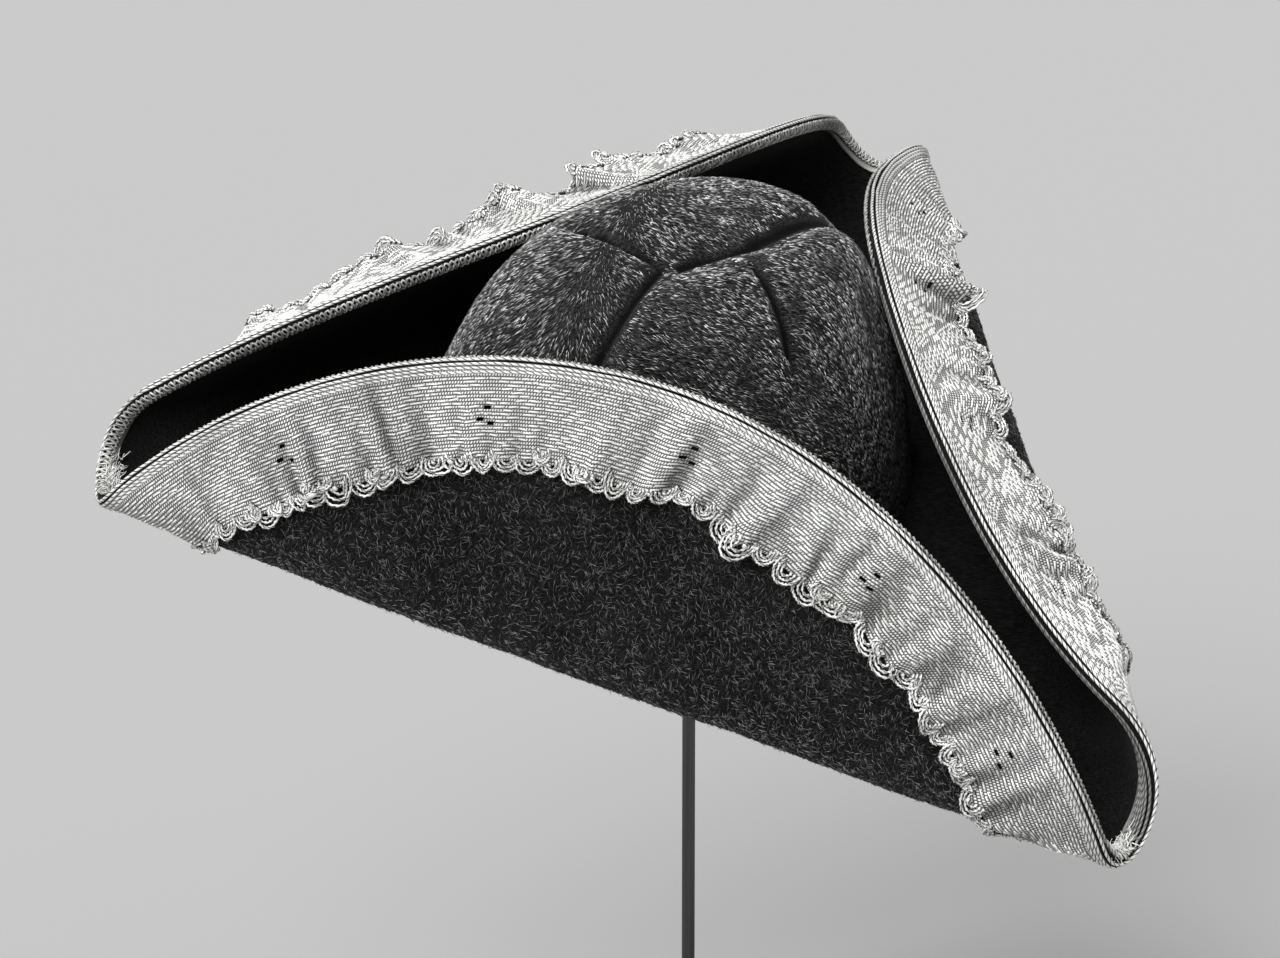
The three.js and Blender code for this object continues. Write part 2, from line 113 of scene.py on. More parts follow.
# %% A helper for colours, and one for nodes


def linear(colour):
    """An sRGB hex colour as linear red, green, blue and alpha."""
    parts = [int(colour[i:i + 2], 16) / 255 for i in (1, 3, 5)]
    return [c / 12.92 if c <= 0.04045 else ((c + 0.055) / 1.055) ** 2.4 for c in parts] + [1.0]


def node(material, kind, links=None, **settings):
    """Adds a node: links gives each input a value or another node's output."""
    made = material.node_tree.nodes.new(kind)
    for name, value in settings.items():
        setattr(made, name, value)
    for name, value in (links or {}).items():
        if isinstance(value, bpy.types.NodeSocket):
            material.node_tree.links.new(value, made.inputs[name])
        else:
            made.inputs[name].default_value = value
    return made


def maths(material, operation, a, b=0.0):
    """The result of one sum in a material; a and b are values or outputs."""
    return node(material, "ShaderNodeMath", {0: a, 1: b}, operation=operation).outputs[0]


def blended(material, blend, share, a, b):
    """Two colours mixed; share, a and b are values or outputs."""
    made = node(material, "ShaderNodeMix", {0: share, 6: a, 7: b}, data_type="RGBA", blend_type=blend)
    return made.outputs[2]


def new_material(name, colour, roughness, **sockets):
    """A material with one Principled shader, whose sockets get these values."""
    material = bpy.data.materials.new(name)
    material.use_nodes = True
    shader = material.node_tree.nodes["Principled BSDF"]
    shader.inputs["Base Color"].default_value = linear(colour)
    shader.inputs["Roughness"].default_value = roughness
    for socket, value in sockets.items():
        shader.inputs[socket.replace("_", " ")].default_value = value
    return material, shader


# %% Floor and lights
FLOOR_SIZE = 16.0
FLOOR_BACK = 5.0

bpy.ops.object.select_all(action="DESELECT")
bpy.ops.mesh.primitive_plane_add(size=FLOOR_SIZE, location=(0, FLOOR_BACK, 0))
floor = bpy.context.active_object
floor.name = "floor"
floor_paint, shader = new_material("matt_studio_paper", "#a7a7a7", 0.9)
floor.data.materials.append(floor_paint)


def soft_sun(name, strength, spread, source):
    """An even light from a wide patch of the studio in the direction of source."""
    data = bpy.data.lights.new(name, "SUN")
    data.energy = strength
    data.angle = math.radians(spread)
    light = bpy.data.objects.new(name, data)
    bpy.context.scene.collection.objects.link(light)
    light.location = source
    light.rotation_euler = (-Vector(source)).to_track_quat("-Z", "Y").to_euler()


soft_sun("top_light", 1.35, 25, (-0.35, 0.0, 1.0))
soft_sun("front_light", 2.75, 38, (-0.5, -1.0, 0.78))
world = bpy.data.worlds.new("studio_air")
world.use_nodes = True
world.node_tree.nodes["Background"].inputs["Color"].default_value = (1, 1, 1, 1)
world.node_tree.nodes["Background"].inputs["Strength"].default_value = 0.58
bpy.context.scene.world = world
bpy.context.scene.view_settings.view_transform = "Standard"
print("floor, two lights and the world are in place")

# %% [markdown]
# The felt of a real hat is one blocked piece. A hood of felt is pulled over a block for the
# crown, its brim is ironed flat and cut, and the brim is then bent up along three lines.
# The shape is worked out in the same way: a crown, a short bend at its foot, and a flat brim
# whose points are carried by three folds.

# %% Sizes of the felt, as in the CAD model
FELT_WALL = 3
HOLLOW_HALF_WIDTH = 77
HOLLOW_HALF_LENGTH = 101
HOLLOW_TURN = math.radians(-41)
CROWN_FLATNESS = 0.5
CROWN_ROUNDING = 1.2
BAND_BEND = 7
BRIM_WIDTH = 143
LEAST_LEAN = math.radians(20)
MOST_LEAN = math.radians(150)
CUT_COS = 0.034
CUT_SIN = -0.056
CUT_COS_TWICE = -0.016
CUT_SIN_TWICE = -0.028

# Each dent: direction, share of the half length deep, spread
SIDE_DENTS = ((math.radians(24), 0.085, math.radians(25)), (math.radians(150), 0.02, math.radians(40)))

# Each furrow: from x, from y, to x, to y, depth, width, in shares of the crown's half length
FURROWS = (
    (-0.41, -0.07, -0.07, -0.18, 0.035, 0.05),
    (-0.07, -0.18, -0.15, -0.64, 0.035, 0.05),
    (-0.02, -0.14, 0.19, 0.13, 0.05, 0.08),
    (0.19, 0.13, 0.38, 0.56, 0.05, 0.08),
    (0.21, 0.0, 0.46, -0.26, 0.03, 0.05),
)

# Each flap: direction, and ease, bow, bend and rest as shares of the brim, then its twist
FLAPS = {
    "front": (-93, 0.08, -0.014, 0.108, 0.28, -21),
    "right": (29.6, 0.098, 0.053, 0.162, 0.062, 23),
    "back_left": (147.3, 0.161, 0.015, 0.137, 0.045, -10),
}

crown_half_width = HOLLOW_HALF_WIDTH + FELT_WALL / 2
crown_half_length = HOLLOW_HALF_LENGTH + FELT_WALL / 2
brim_radius = (crown_half_width + crown_half_length) / 2 + FELT_WALL / 2 + BRIM_WIDTH
print("flat brim:", 2 * brim_radius, "mm across")

# %% The crown's surface


def angle_between(a, b):
    return np.arctan2(np.sin(a - b), np.cos(a - b))


def stacked(x, y, z):
    return np.stack(np.broadcast_arrays(x, y, z), axis=-1)


def crown_radius(angle, fall):
    """Fall runs from 0 at the top of the crown to a quarter turn at its foot."""
    across = np.cos(angle - HOLLOW_TURN) / crown_half_width
    along = np.sin(angle - HOLLOW_TURN) / crown_half_length
    radius = np.sin(fall) ** CROWN_FLATNESS / np.hypot(across, along)
    for direction, depth, spread in SIDE_DENTS:
        near = np.exp(-((angle_between(angle, direction) / spread) ** 2))
        radius = radius - depth * crown_half_length * near * np.sin(2 * fall) ** 2
    return radius


def crown_level(fall):
    return CROWN_HEIGHT * np.cos(fall) ** CROWN_ROUNDING


def fall_at_level(level):
    return np.arccos(np.clip(level / CROWN_HEIGHT, 0, 1) ** (1 / CROWN_ROUNDING))


def away_from_furrow(x, y, furrow):
    start = np.array(furrow[:2]) * crown_half_length
    run = np.array(furrow[2:4]) * crown_half_length - start
    along = np.clip(((x - start[0]) * run[0] + (y - start[1]) * run[1]) / (run @ run), 0, 1)
    return np.hypot(x - start[0] - run[0] * along, y - start[1] - run[1] * along)


def furrow_depth(x, y):
    depth = 0
    for furrow in FURROWS:
        away = away_from_furrow(x, y, furrow) / (furrow[5] * crown_half_length)
        depth = np.maximum(depth, furrow[4] * crown_half_length * np.exp(-(away ** 2)))
    return depth


band_fall = fall_at_level(BAND_BEND)


def crown_at(angle, share):
    fall = band_fall * share ** 2
    x = crown_radius(angle, fall) * np.cos(angle)
    y = crown_radius(angle, fall) * np.sin(angle)
    level = crown_level(fall) - furrow_depth(x, y) * np.cos(fall)
    return stacked(CROWN_CENTRE_X + x, CROWN_CENTRE_Y + y, level)


def foot_at(angle, outward, level):
    radius = crown_radius(angle, band_fall) + outward
    return stacked(CROWN_CENTRE_X + radius * np.cos(angle), CROWN_CENTRE_Y + radius * np.sin(angle), level)


def band_at(angle, share):
    turn = share * math.pi / 2
    return foot_at(angle, BAND_BEND * (1 - np.cos(turn)), BAND_BEND * (1 - np.sin(turn)))


print("crown:", 2 * crown_half_length, "by", 2 * crown_half_width, "mm to the middle of the felt")

# %% The folds of the brim


def flat_brim_at(angle, past_edge):
    once = CUT_COS * np.cos(angle) + CUT_SIN * np.sin(angle)
    twice = CUT_COS_TWICE * np.cos(2 * angle) + CUT_SIN_TWICE * np.sin(2 * angle)
    radius = brim_radius * (1 + once + twice) + past_edge
    return stacked(radius * np.cos(angle), radius * np.sin(angle), 0.0)


def bent_strip(length, bend, lean):
    """A strip of brim bent round the fold, then straight on at its lean."""
    turned = np.clip(length / bend, 0, lean)
    straight = np.maximum(length - bend * lean, 0)
    out = bend * np.sin(turned) + straight * np.cos(lean)
    return out, bend * (1 - np.cos(turned)) + straight * np.sin(lean)


def crown_reach(direction, radius):
    return radius + CROWN_CENTRE_X * math.cos(direction) + CROWN_CENTRE_Y * math.sin(direction)


def made_flap(degrees, ease, bow, bend, rest, twist):
    direction = math.radians(degrees)
    across = crown_half_width * math.cos(direction - HOLLOW_TURN)
    along = crown_half_length * math.sin(direction - HOLLOW_TURN)
    distance = crown_reach(direction, math.hypot(across, along)) + ease * BRIM_WIDTH
    flap = {
        "direction": direction,
        "distance": distance,
        "bow": bow * BRIM_WIDTH,
        "bend": bend * BRIM_WIDTH,
        "twist": math.radians(twist),
    }
    width = np.linalg.norm(flat_brim_at(direction, 0)) - distance
    low, high = LEAST_LEAN, MOST_LEAN
    while high - low > math.radians(0.01):
        lean = (low + high) / 2
        out, up = bent_strip(width, flap["bend"], lean)
        gap = distance + out - crown_reach(direction, crown_radius(direction, fall_at_level(up)))
        low, high = (lean, high) if gap > rest * BRIM_WIDTH else (low, lean)
    flap["lean"] = low
    return flap


flaps = {name: made_flap(*row) for name, row in FLAPS.items()}
for name, flap in flaps.items():
    print("flap", name, "leans", round(math.degrees(flap["lean"]), 1), "degrees")


def folded(flat):
    """Points of the flat brim, carried by the three folds."""
    points = flat.copy()
    for flap in flaps.values():
        outward = np.array((math.cos(flap["direction"]), math.sin(flap["direction"])))
        along = (outward[0] * flat[..., 1] - outward[1] * flat[..., 0]) / brim_radius
        length = flat[..., :2] @ outward - flap["distance"] - flap["bow"] * along ** 2
        lean = np.clip(flap["lean"] + flap["twist"] * along ** 2, LEAST_LEAN, MOST_LEAN)
        out, up = bent_strip(np.maximum(length, 0), flap["bend"], lean)
        points[..., :2] += (out - np.maximum(length, 0))[..., None] * outward
        points[..., 2] += up
    return points


LACE_WIDTH = 42


def inner_brim_at(angle, share):
    foot = foot_at(angle, BAND_BEND, 0.0)
    return folded(foot + (flat_brim_at(angle, -LACE_WIDTH) - foot) * np.asarray(share)[..., None])


def edge_zone_at(angle, past_edge):
    return folded(flat_brim_at(angle, past_edge))


# %% Normals, and the columns of the brim
NEAR = 1e-3


def unit(vectors):
    return vectors / np.maximum(np.linalg.norm(vectors, axis=-1, keepdims=True), 1e-12)


def with_normals(at, angle, place):
    """Points and unit normals of a surface; the normals point up on the flat brim."""
    angle, place = np.broadcast_arrays(np.asarray(angle, float), np.asarray(place, float))
    around = at(angle + NEAR, place) - at(angle - NEAR, place)
    outward = at(angle, place + NEAR) - at(angle, place - NEAR)
    return at(angle, place), unit(np.cross(outward, around))


COLUMN_CROWDING = 0.35


def corner_after(index):
    directions = [flap["direction"] for flap in flaps.values()]
    here = directions[index]
    return here + angle_between(directions[(index + 1) % 3], here) / 2


def brim_columns(per_flap):
    """Each column's angle, its flap's number and its even share of that flap, corner to corner."""
    angles, numbers, evens = [], [], []
    for index, flap in enumerate(flaps.values()):
        start = corner_after((index + 2) % 3)
        span = 2 * angle_between(flap["direction"], start)
        end = start + span + angle_between(corner_after(index), start + span)
        even = np.arange(per_flap) / per_flap
        share = even - COLUMN_CROWDING * np.sin(2 * np.pi * even) / (2 * np.pi)
        angles.append(start + (end - start) * share)
        numbers.append(np.full(per_flap, index))
        evens.append(even)
    return np.concatenate(angles), np.concatenate(numbers), np.concatenate(evens)


FELT_COLUMNS = 120
column_angles, column_flaps = brim_columns(FELT_COLUMNS)[:2]
print("felt columns:", len(column_angles))

# %% [markdown]
# The felt is thick and soft, so it is a little uneven, and the creases of the crown are sharper
# than the CAD model's. Both are added to the middle surface before the felt gets its wall.

# %% Rows of the felt
CROWN_ROWS = 60
BAND_ROWS = 4
BRIM_ROWS = 22
EDGE_ROWS = 8
UNEVEN = 0.5
LONG_WAVE = 60
SHORT_WAVE = 22
SHORT_SHARE = 0.4
FLATTER_UNDER_LACE = 0.7
CREASE_DEPTH = 1.7
CREASE_WIDTH = 1.5
BARE_WIDTHS = (1.5, 1.3, 1.7, 3.0, 1.5)
RAGGED_SHARE = 0.3
RAGGED_WAVE = 7


def ripple(points, seed, wavelength, terms=6):
    """Smooth noise of about one unit: a few plane waves with fixed directions and phases."""
    draw = np.random.default_rng(seed)
    total = 0
    for _ in range(terms):
        heading = unit(draw.normal(size=3)) * 2 * np.pi / (wavelength * draw.uniform(0.7, 1.4))
        total = total + np.sin(points @ heading + draw.uniform(0, 2 * np.pi))
    return total / math.sqrt(terms)


def bareness(points):
    """1 in the creases of the crown, where the nap is pressed flat and the felt gets painted shade, and 0
    away from them.
    """
    ragged = 1 + RAGGED_SHARE * ripple(points, 9, RAGGED_WAVE)
    bare = np.zeros(points.shape[:-1])
    for furrow, bare_width in zip(FURROWS, BARE_WIDTHS):
        away = away_from_furrow(points[..., 0] - CROWN_CENTRE_X, points[..., 1] - CROWN_CENTRE_Y, furrow)
        bare = np.maximum(bare, np.exp(-((away / (bare_width * ragged)) ** 4)))
    return bare


# %% The middle surface of the felt
rows = [(crown_at, share) for share in np.linspace(1 / CROWN_ROWS, 1, CROWN_ROWS)]
rows += [(band_at, share) for share in np.linspace(0, 1, BAND_ROWS + 1)[1:]]
rows += [(inner_brim_at, share) for share in np.linspace(0, 1, BRIM_ROWS + 1)[1:]]
rows += [(edge_zone_at, past) for past in np.linspace(-LACE_WIDTH, 0, EDGE_ROWS + 1)[1:]]
sampled = [with_normals(at, column_angles, place) for at, place in rows]
felt_middle = np.array([points for points, normals in sampled])
felt_normals = np.array([normals for points, normals in sampled])
under_lace = np.array([float(at is edge_zone_at) for at, place in rows])[:, None]

crown_x = felt_middle[..., 0] - CROWN_CENTRE_X
crown_y = felt_middle[..., 1] - CROWN_CENTRE_Y
crease = np.zeros(crown_x.shape)
for furrow in FURROWS:
    away = away_from_furrow(crown_x, crown_y, furrow)
    crease = np.maximum(crease, np.exp(-((away / CREASE_WIDTH) ** 2)))
crease[CROWN_ROWS:] = 0
bare = bareness(felt_middle)
bare[CROWN_ROWS:] = 0
uneven = UNEVEN * ripple(felt_middle, 3, LONG_WAVE)
uneven = uneven + SHORT_SHARE * UNEVEN * ripple(felt_middle, 4, SHORT_WAVE)
push = uneven * (1 - FLATTER_UNDER_LACE * under_lace) - CREASE_DEPTH * crease
felt_middle = felt_middle + felt_normals * push[..., None]
print("felt rows:", len(rows), "deepest crease:", round(float(-push.min()), 2), "mm")

# %% [markdown]
# Felt and lace have no straight side that an extrusion could start from. They are sheets, so their
# meshes are laid as grids of points. One helper makes a mesh object out of points and faces, and
# another joins a grid of points into squares.

# %% A helper that makes a mesh piece
added_names = []


def mesh_piece(name, points, faces, material):
    """points in the hat's mm; faces is a list of index arrays, each with one number of corners."""
    points = from_hat(points)
    mesh = bpy.data.meshes.new(name)
    mesh.vertices.add(len(points))
    mesh.vertices.foreach_set("co", points.astype(np.float32).ravel())
    faces = [f for f in faces if len(f)]
    corners = np.concatenate([f.ravel() for f in faces]).astype(np.int32)
    sizes = np.concatenate([np.full(len(f), f.shape[1]) for f in faces]).astype(np.int32)
    mesh.loops.add(len(corners))
    mesh.loops.foreach_set("vertex_index", corners)
    mesh.polygons.add(len(sizes))
    mesh.polygons.foreach_set("loop_start", np.concatenate([[0], np.cumsum(sizes)[:-1]]).astype(np.int32))
    mesh.polygons.foreach_set("use_smooth", np.full(len(sizes), True))
    mesh.update(calc_edges=True)
    mesh.validate()
    mesh.materials.append(material)
    piece = bpy.data.objects.new(name, mesh)
    bpy.context.scene.collection.objects.link(piece)
    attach(piece, "root")
    triangles = int((sizes - 2).sum())
    print(name, "has", triangles, "triangles")
    added_names.append(name)
    return piece


def grid_faces(height, width, first=0, closed=True):
    """Quads over a grid of points, rows by columns; closed joins the last column to the first."""
    steps = width if closed else width - 1
    row, column = np.meshgrid(np.arange(height - 1), np.arange(steps), indexing="ij")
    after = (column + 1) % width
    here, below = row * width, (row + 1) * width
    corners = (here + column, below + column, below + after, here + after)
    return first + np.stack(corners, axis=-1).reshape(-1, 4)


# %% [markdown]
# Black fur felt with a long nap: beaver or rabbit fur, felted and dyed, then brushed up. To the
# eye it is a deep matt black that turns grey where light skims the fur. The felt below the hairs
# is darker than the hairs, so its own colour is nearly black. Two noises stretched along the
# brushing, one for each side of the crown, show as streaks between the hairs.

# %% Felt material
FELT_MOTTLE_MM = 40
MOTTLE_SHARE = 0.3
MOTTLE_BASE = 0.35
STREAK_MM = (4.0, 0.5, 0.5)
LEFT_COMB_TURN = math.radians(-40)

felt_material, shader = new_material(
    "napped_fur_felt", "#161616", 0.95, Sheen_Weight=0.04, Sheen_Roughness=0.5)
shader.inputs["Specular IOR Level"].default_value = 0.05
place = node(felt_material, "ShaderNodeTexCoord").outputs["Object"]
mottle = node(
    felt_material, "ShaderNodeTexNoise",
    {"Vector": place, "Scale": 1 / (FELT_MOTTLE_MM * MM), "Detail": 4.0})
streaks = []
for turn in (LEFT_COMB_TURN, 0.0):
    combed = node(
        felt_material, "ShaderNodeMapping",
        {"Vector": place, "Rotation": (0.0, turn, 0.0), "Scale": [mm * MM for mm in STREAK_MM]},
        vector_type="TEXTURE")
    streaks.append(node(
        felt_material, "ShaderNodeTexNoise", {"Vector": combed.outputs[0], "Scale": 1.0, "Detail": 3.0}))
side = node(felt_material, "ShaderNodeAttribute", attribute_name="comb_side", attribute_type="GEOMETRY")
streak = node(
    felt_material, "ShaderNodeMix",
    {0: side.outputs["Fac"], 2: streaks[0].outputs["Fac"], 3: streaks[1].outputs["Fac"]}).outputs[0]
weak_mottle = maths(felt_material, "MULTIPLY", mottle.outputs["Fac"], MOTTLE_SHARE)
soft_mottle = maths(felt_material, "ADD", weak_mottle, MOTTLE_BASE)
both = maths(felt_material, "MULTIPLY", soft_mottle, streak)
tones = node(felt_material, "ShaderNodeValToRGB", {"Fac": both})
tones.color_ramp.elements[0].position = 0.2
tones.color_ramp.elements[0].color = linear("#0a0a0a")
tones.color_ramp.elements[1].position = 0.4
tones.color_ramp.elements[1].color = linear("#444444")
# The bare attribute mixes the felt's colour towards black: painted shade in the crown's creases and an
# even painted shade away from the crown's outer side.
painted_shade_mask = node(felt_material, "ShaderNodeAttribute", attribute_name="bare", attribute_type="GEOMETRY")
deep = maths(felt_material, "MULTIPLY", painted_shade_mask.outputs["Fac"], 0.95)
colour = blended(felt_material, "MIX", deep, tones.outputs["Color"], (0.002, 0.002, 0.002, 1.0))
bump = node(felt_material, "ShaderNodeBump", {"Height": streak, "Strength": 0.7, "Distance": 0.6 * MM})
felt_material.node_tree.links.new(colour, shader.inputs["Base Color"])
felt_material.node_tree.links.new(bump.outputs["Normal"], shader.inputs["Normal"])
print("felt streaks:", STREAK_MM[0], "mm long")

# %% [markdown]
# A wall of felt has an upper and a lower skin, each half a wall away from the middle surface. A
# Solidify modifier would do the same, but here both skins come from the exact normals, so that the
# wall stays even in the creases. The comb and the bareness of the nap are stored on the points. The
# bareness also darkens the felt as painted shade: fully in the creases, evenly off the crown's top.

# %% The felt hat: two skins, rounded over the edge of the brim
EDGE_ROUND = 0.8
COMB_PARTING = 58
COMB_BLEND = 50
BRIM_PAINTED_SHADE = 0.72

height, width = felt_middle.shape[:2]
upper = felt_middle + felt_normals * FELT_WALL / 2
lower = felt_middle - felt_normals * FELT_WALL / 2
rim = felt_middle[-1] + unit(felt_middle[-1] - felt_middle[-2]) * EDGE_ROUND
top = crown_at(np.float64(0), np.float64(0))
poles = np.array([top + (0, 0, FELT_WALL / 2), top - (0, 0, FELT_WALL / 2)])
rings = np.concatenate([upper, rim[None], lower[::-1]])
felt_points = np.concatenate([rings.reshape(-1, 3), poles])
around = np.arange(width)
after = (around + 1) % width
last = (len(rings) - 1) * width
top_fan = np.stack([np.full(width, len(felt_points) - 2), around, after], axis=-1)
under_fan = np.stack([last + around, np.full(width, len(felt_points) - 1), last + after], axis=-1)
felt_faces = [grid_faces(len(rings), width), top_fan, under_fan]
felt_hat = mesh_piece("felt_hat", felt_points, felt_faces, felt_material)
comb_side = np.clip((felt_points[:, 0] + COMB_PARTING) / COMB_BLEND, 0, 1)
# Bare is the nap's bareness in the crown's creases and, everywhere else, an even painted shade.
bare_and_shade_points = np.full(len(felt_points), BRIM_PAINTED_SHADE)
crown_points = CROWN_ROWS * width
bare_and_shade_points[:crown_points] = bare.ravel()[:crown_points]
for name, values in (("comb_side", comb_side), ("bare", bare_and_shade_points)):
    layer = felt_hat.data.attributes.new(name, "FLOAT", "POINT")
    layer.data.foreach_set("value", values.astype(np.float32))
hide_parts("felt_crown", "felt_flap_front", "felt_flap_right", "felt_flap_back_left")

# %% [markdown]
# The lace is one long band of silver thread, sewn along the outer side of the edge. Its other
# edge is longer than the felt below it, so it stands off in gathers. It is a sheet that is laid
# over the felt's own surface, and its gathers are a distance from that surface which grows
# towards the free edge.

# %% The lace's places: s runs along the edge, w across from the edge
LACE_LIFT = 2.3
LACE_STEP = 1.5
LACE_ROWS = 29
LACE_BODY = 37.5
GATHERS = ((0.06, 0.05, 10, 0.2), (0.2, 0.1, 8, 0.6), (0.34, 0.11, 9, 0.4))
GATHER_MIX = 0.45
GATHER_OFFBEAT = 0.37
GATHER_SPREAD = 1.5
GATHER_EASE = 1.4
RUFFLE = 1.1
FINE_COLUMNS = 2000
PLEAT_COUNT = 46
CALM_FLAP = 1
CALM_FROM = 0.58
CALM_EASE = 0.08
CALM_SHARE = 0.6
HOLLOW_BESIDE = 1.7
HOLLOW_SHARE = 0.45
FOLD_SPREAD = 0.9
DEEPEST_HOLLOW = 0.3
VALLEY_DEPTH = 1.25
VALLEY_REACH = 7
FALLOFF_SHADE_SHARE = 0.4
FALLOFF_SHADE_LENGTH = 150

fine_angles, fine_flaps, fine_evens = brim_columns(FINE_COLUMNS)
fine_edge = edge_zone_at(fine_angles, np.zeros(len(fine_angles)))
fine_steps = np.linalg.norm(np.roll(fine_edge, -1, axis=0) - fine_edge, axis=1)
fine_s = np.concatenate([[0], np.cumsum(fine_steps)[:-1]])
edge_length = float(fine_steps.sum())
lace_columns = int(round(edge_length / LACE_STEP))
lace_s = np.arange(lace_columns) * edge_length / lace_columns
print("edge of the brim:", round(edge_length), "mm long,", lace_columns, "columns of lace")


# %% The angle at a length along the edge


def at_s(s):
    """The angle, flap number and even share at a length along the edge."""
    s = np.mod(s, edge_length)
    index = np.clip(np.searchsorted(fine_s, s, side="right") - 1, 0, len(fine_s) - 1)
    part = (s - fine_s[index]) / fine_steps[index]
    after = (index + 1) % len(fine_s)
    angle = fine_angles[index] + part * angle_between(fine_angles[after], fine_angles[index])
    even = fine_evens[index] + part / FINE_COLUMNS
    return angle, fine_flaps[index], even


# %% Folds and pleats of the lace
# Each large fold: place along the edge, slope, width, depth
FOLDS = (
    (111.4, 0.09, 3.0, 4.0), (141.3, 0.3, 3.2, 4.5), (156.4, 0.09, 4.5, 4.0), (276.5, -0.17, 7.0, 6.0),
    (322.5, -0.14, 5.5, 5.0), (354.0, 0.05, 4.0, 3.5), (367.5, 0.0, 6.0, 5.5), (405.0, -0.1, 4.0, 3.0),
    (431.0, -0.14, 6.5, 5.0), (664.0, -0.71, 6.0, 4.5), (731.0, 0.05, 7.5, 5.0), (820.5, -0.25, 3.4, 9.0),
    (1225.0, 0.1, 3.5, 6.0), (1272.0, 0.0, 9.0, 5.0), (1326.0, 0.1, 5.0, 3.0),
)
# The small pleats between them: ranges of place within a share of the edge, slope, width, depth
PLEAT_PLACES = (0.15, 0.85)
PLEAT_SLOPES = (-0.55, 0.55)
PLEAT_WIDTHS = (1.8, 4.0)
PLEAT_DEPTHS = (0.4, 2.2)

draw = np.random.default_rng(7)
small_pleats = np.stack([
    (np.arange(PLEAT_COUNT) + draw.uniform(*PLEAT_PLACES, PLEAT_COUNT)) * edge_length / PLEAT_COUNT,
    draw.uniform(*PLEAT_SLOPES, PLEAT_COUNT),
    draw.uniform(*PLEAT_WIDTHS, PLEAT_COUNT),
    draw.uniform(*PLEAT_DEPTHS, PLEAT_COUNT),
], axis=-1)
pleats = np.concatenate([np.array(FOLDS), small_pleats])
print("folds and pleats:", len(pleats))

# %% How the free edge wanders, and how far the gathers stand off
# Each wave of the free edge: reach, length, wander, wander's length
EDGE_WAVES = ((1.7, 17, 0.9, 43), (1.0, 7.6, 2, 61))
# Each wave of the threads' lean: reach, length, phase
LEAN_WAVES = ((3.0, 31, 1), (1.4, 12.5, 0))


def free_edge_reach(s):
    """The free edge isn't cut straight: it reaches up to three millimetres more or less."""
    return sum(
        reach * np.sin(s / length + wander * np.sin(s / slow))
        for reach, length, wander, slow in EDGE_WAVES)


def lean_along(s):
    """The gathers pull the threads sideways towards the free edge."""
    return sum(reach * np.sin(s / length + phase) for reach, length, phase in LEAN_WAVES)


def gather_at(s, w):
    """How far the lace stands off its flat place."""
    angle, number, even = at_s(s)
    flare, swell, waves, shift = np.array(GATHERS)[number].T
    fullness = np.sin(np.pi * even) ** GATHER_EASE
    turn = 2 * np.pi * (waves * even + shift)
    offbeat = np.cos(turn * GATHER_OFFBEAT)
    wave = np.sin(turn + GATHER_MIX * offbeat) * (1 - GATHER_MIX * offbeat ** 2)
    calm = np.where(number == CALM_FLAP, np.clip((even - CALM_FROM) / CALM_EASE, 0, 1), 0)
    stand = LACE_WIDTH * fullness * (flare + swell * wave) * (1 - CALM_SHARE * calm)
    small = RUFFLE * (1 + np.sin(s / 2.1 + 1.7 * np.sin(s / 17)) * np.sin(s / 29 + 1))
    share = np.maximum(w, 0) / LACE_WIDTH
    folds = 0
    for place, slope, wide, deep in pleats:
        away = (np.mod(s - place - slope * w + edge_length / 2, edge_length) - edge_length / 2) / wide
        beside = np.exp(-((away - HOLLOW_BESIDE) ** 2))
        folds = folds + deep * (np.exp(-(away ** 2)) - HOLLOW_SHARE * beside)
    folds = np.maximum(folds * share ** FOLD_SPREAD, -DEEPEST_HOLLOW)
    return stand * share ** GATHER_SPREAD + small * share ** 2 + folds


# %% The lace's grid of points
lace_w = np.linspace(0, LACE_WIDTH, LACE_ROWS)
lace_grid = np.zeros((LACE_ROWS, lace_columns, 3))
lace_angles = at_s(lace_s)[0]
for row, w in enumerate(lace_w):
    share = (w / LACE_WIDTH) ** 2
    row_s = lace_s + lean_along(lace_s) * share
    row_w = w + free_edge_reach(lace_s) * share
    points, normals = with_normals(edge_zone_at, at_s(row_s)[0], -row_w)
    lace_grid[row] = points - normals * (LACE_LIFT + gather_at(row_s, row_w))[:, None]
lace_height = np.array([gather_at(lace_s, np.full(lace_columns, w)) for w in lace_w])
# The lace is darkened in the hollows between its folds and over the last stretch before the right point:
# both are painted shade.
steps = range(-VALLEY_REACH, VALLEY_REACH + 1)
around_height = sum(np.roll(lace_height, step, axis=1) for step in steps) / len(steps)
right_point = float(fine_s[np.flatnonzero(fine_flaps == 1)[0]])
falloff_ramp = np.clip((lace_s - right_point + FALLOFF_SHADE_LENGTH) / FALLOFF_SHADE_LENGTH, 0, 1)
painted_falloff_shade = FALLOFF_SHADE_SHARE * falloff_ramp * (lace_s < right_point)
lace_painted_shade = np.clip((around_height - lace_height) / VALLEY_DEPTH + painted_falloff_shade, 0, 1)
along = np.roll(lace_grid, -1, axis=1) - np.roll(lace_grid, 1, axis=1)
down = np.gradient(lace_grid, axis=0)
lace_out = unit(np.cross(down, along))
middle = with_normals(edge_zone_at, lace_angles, -LACE_WIDTH / 2)[1]
if np.sum(lace_out[LACE_ROWS // 2] * middle) > 0:
    lace_out = -lace_out
print("free edge of the lace:", round(float(np.linalg.norm(along[-1], axis=1).sum() / 2)), "mm long")


# %% Places on the lace


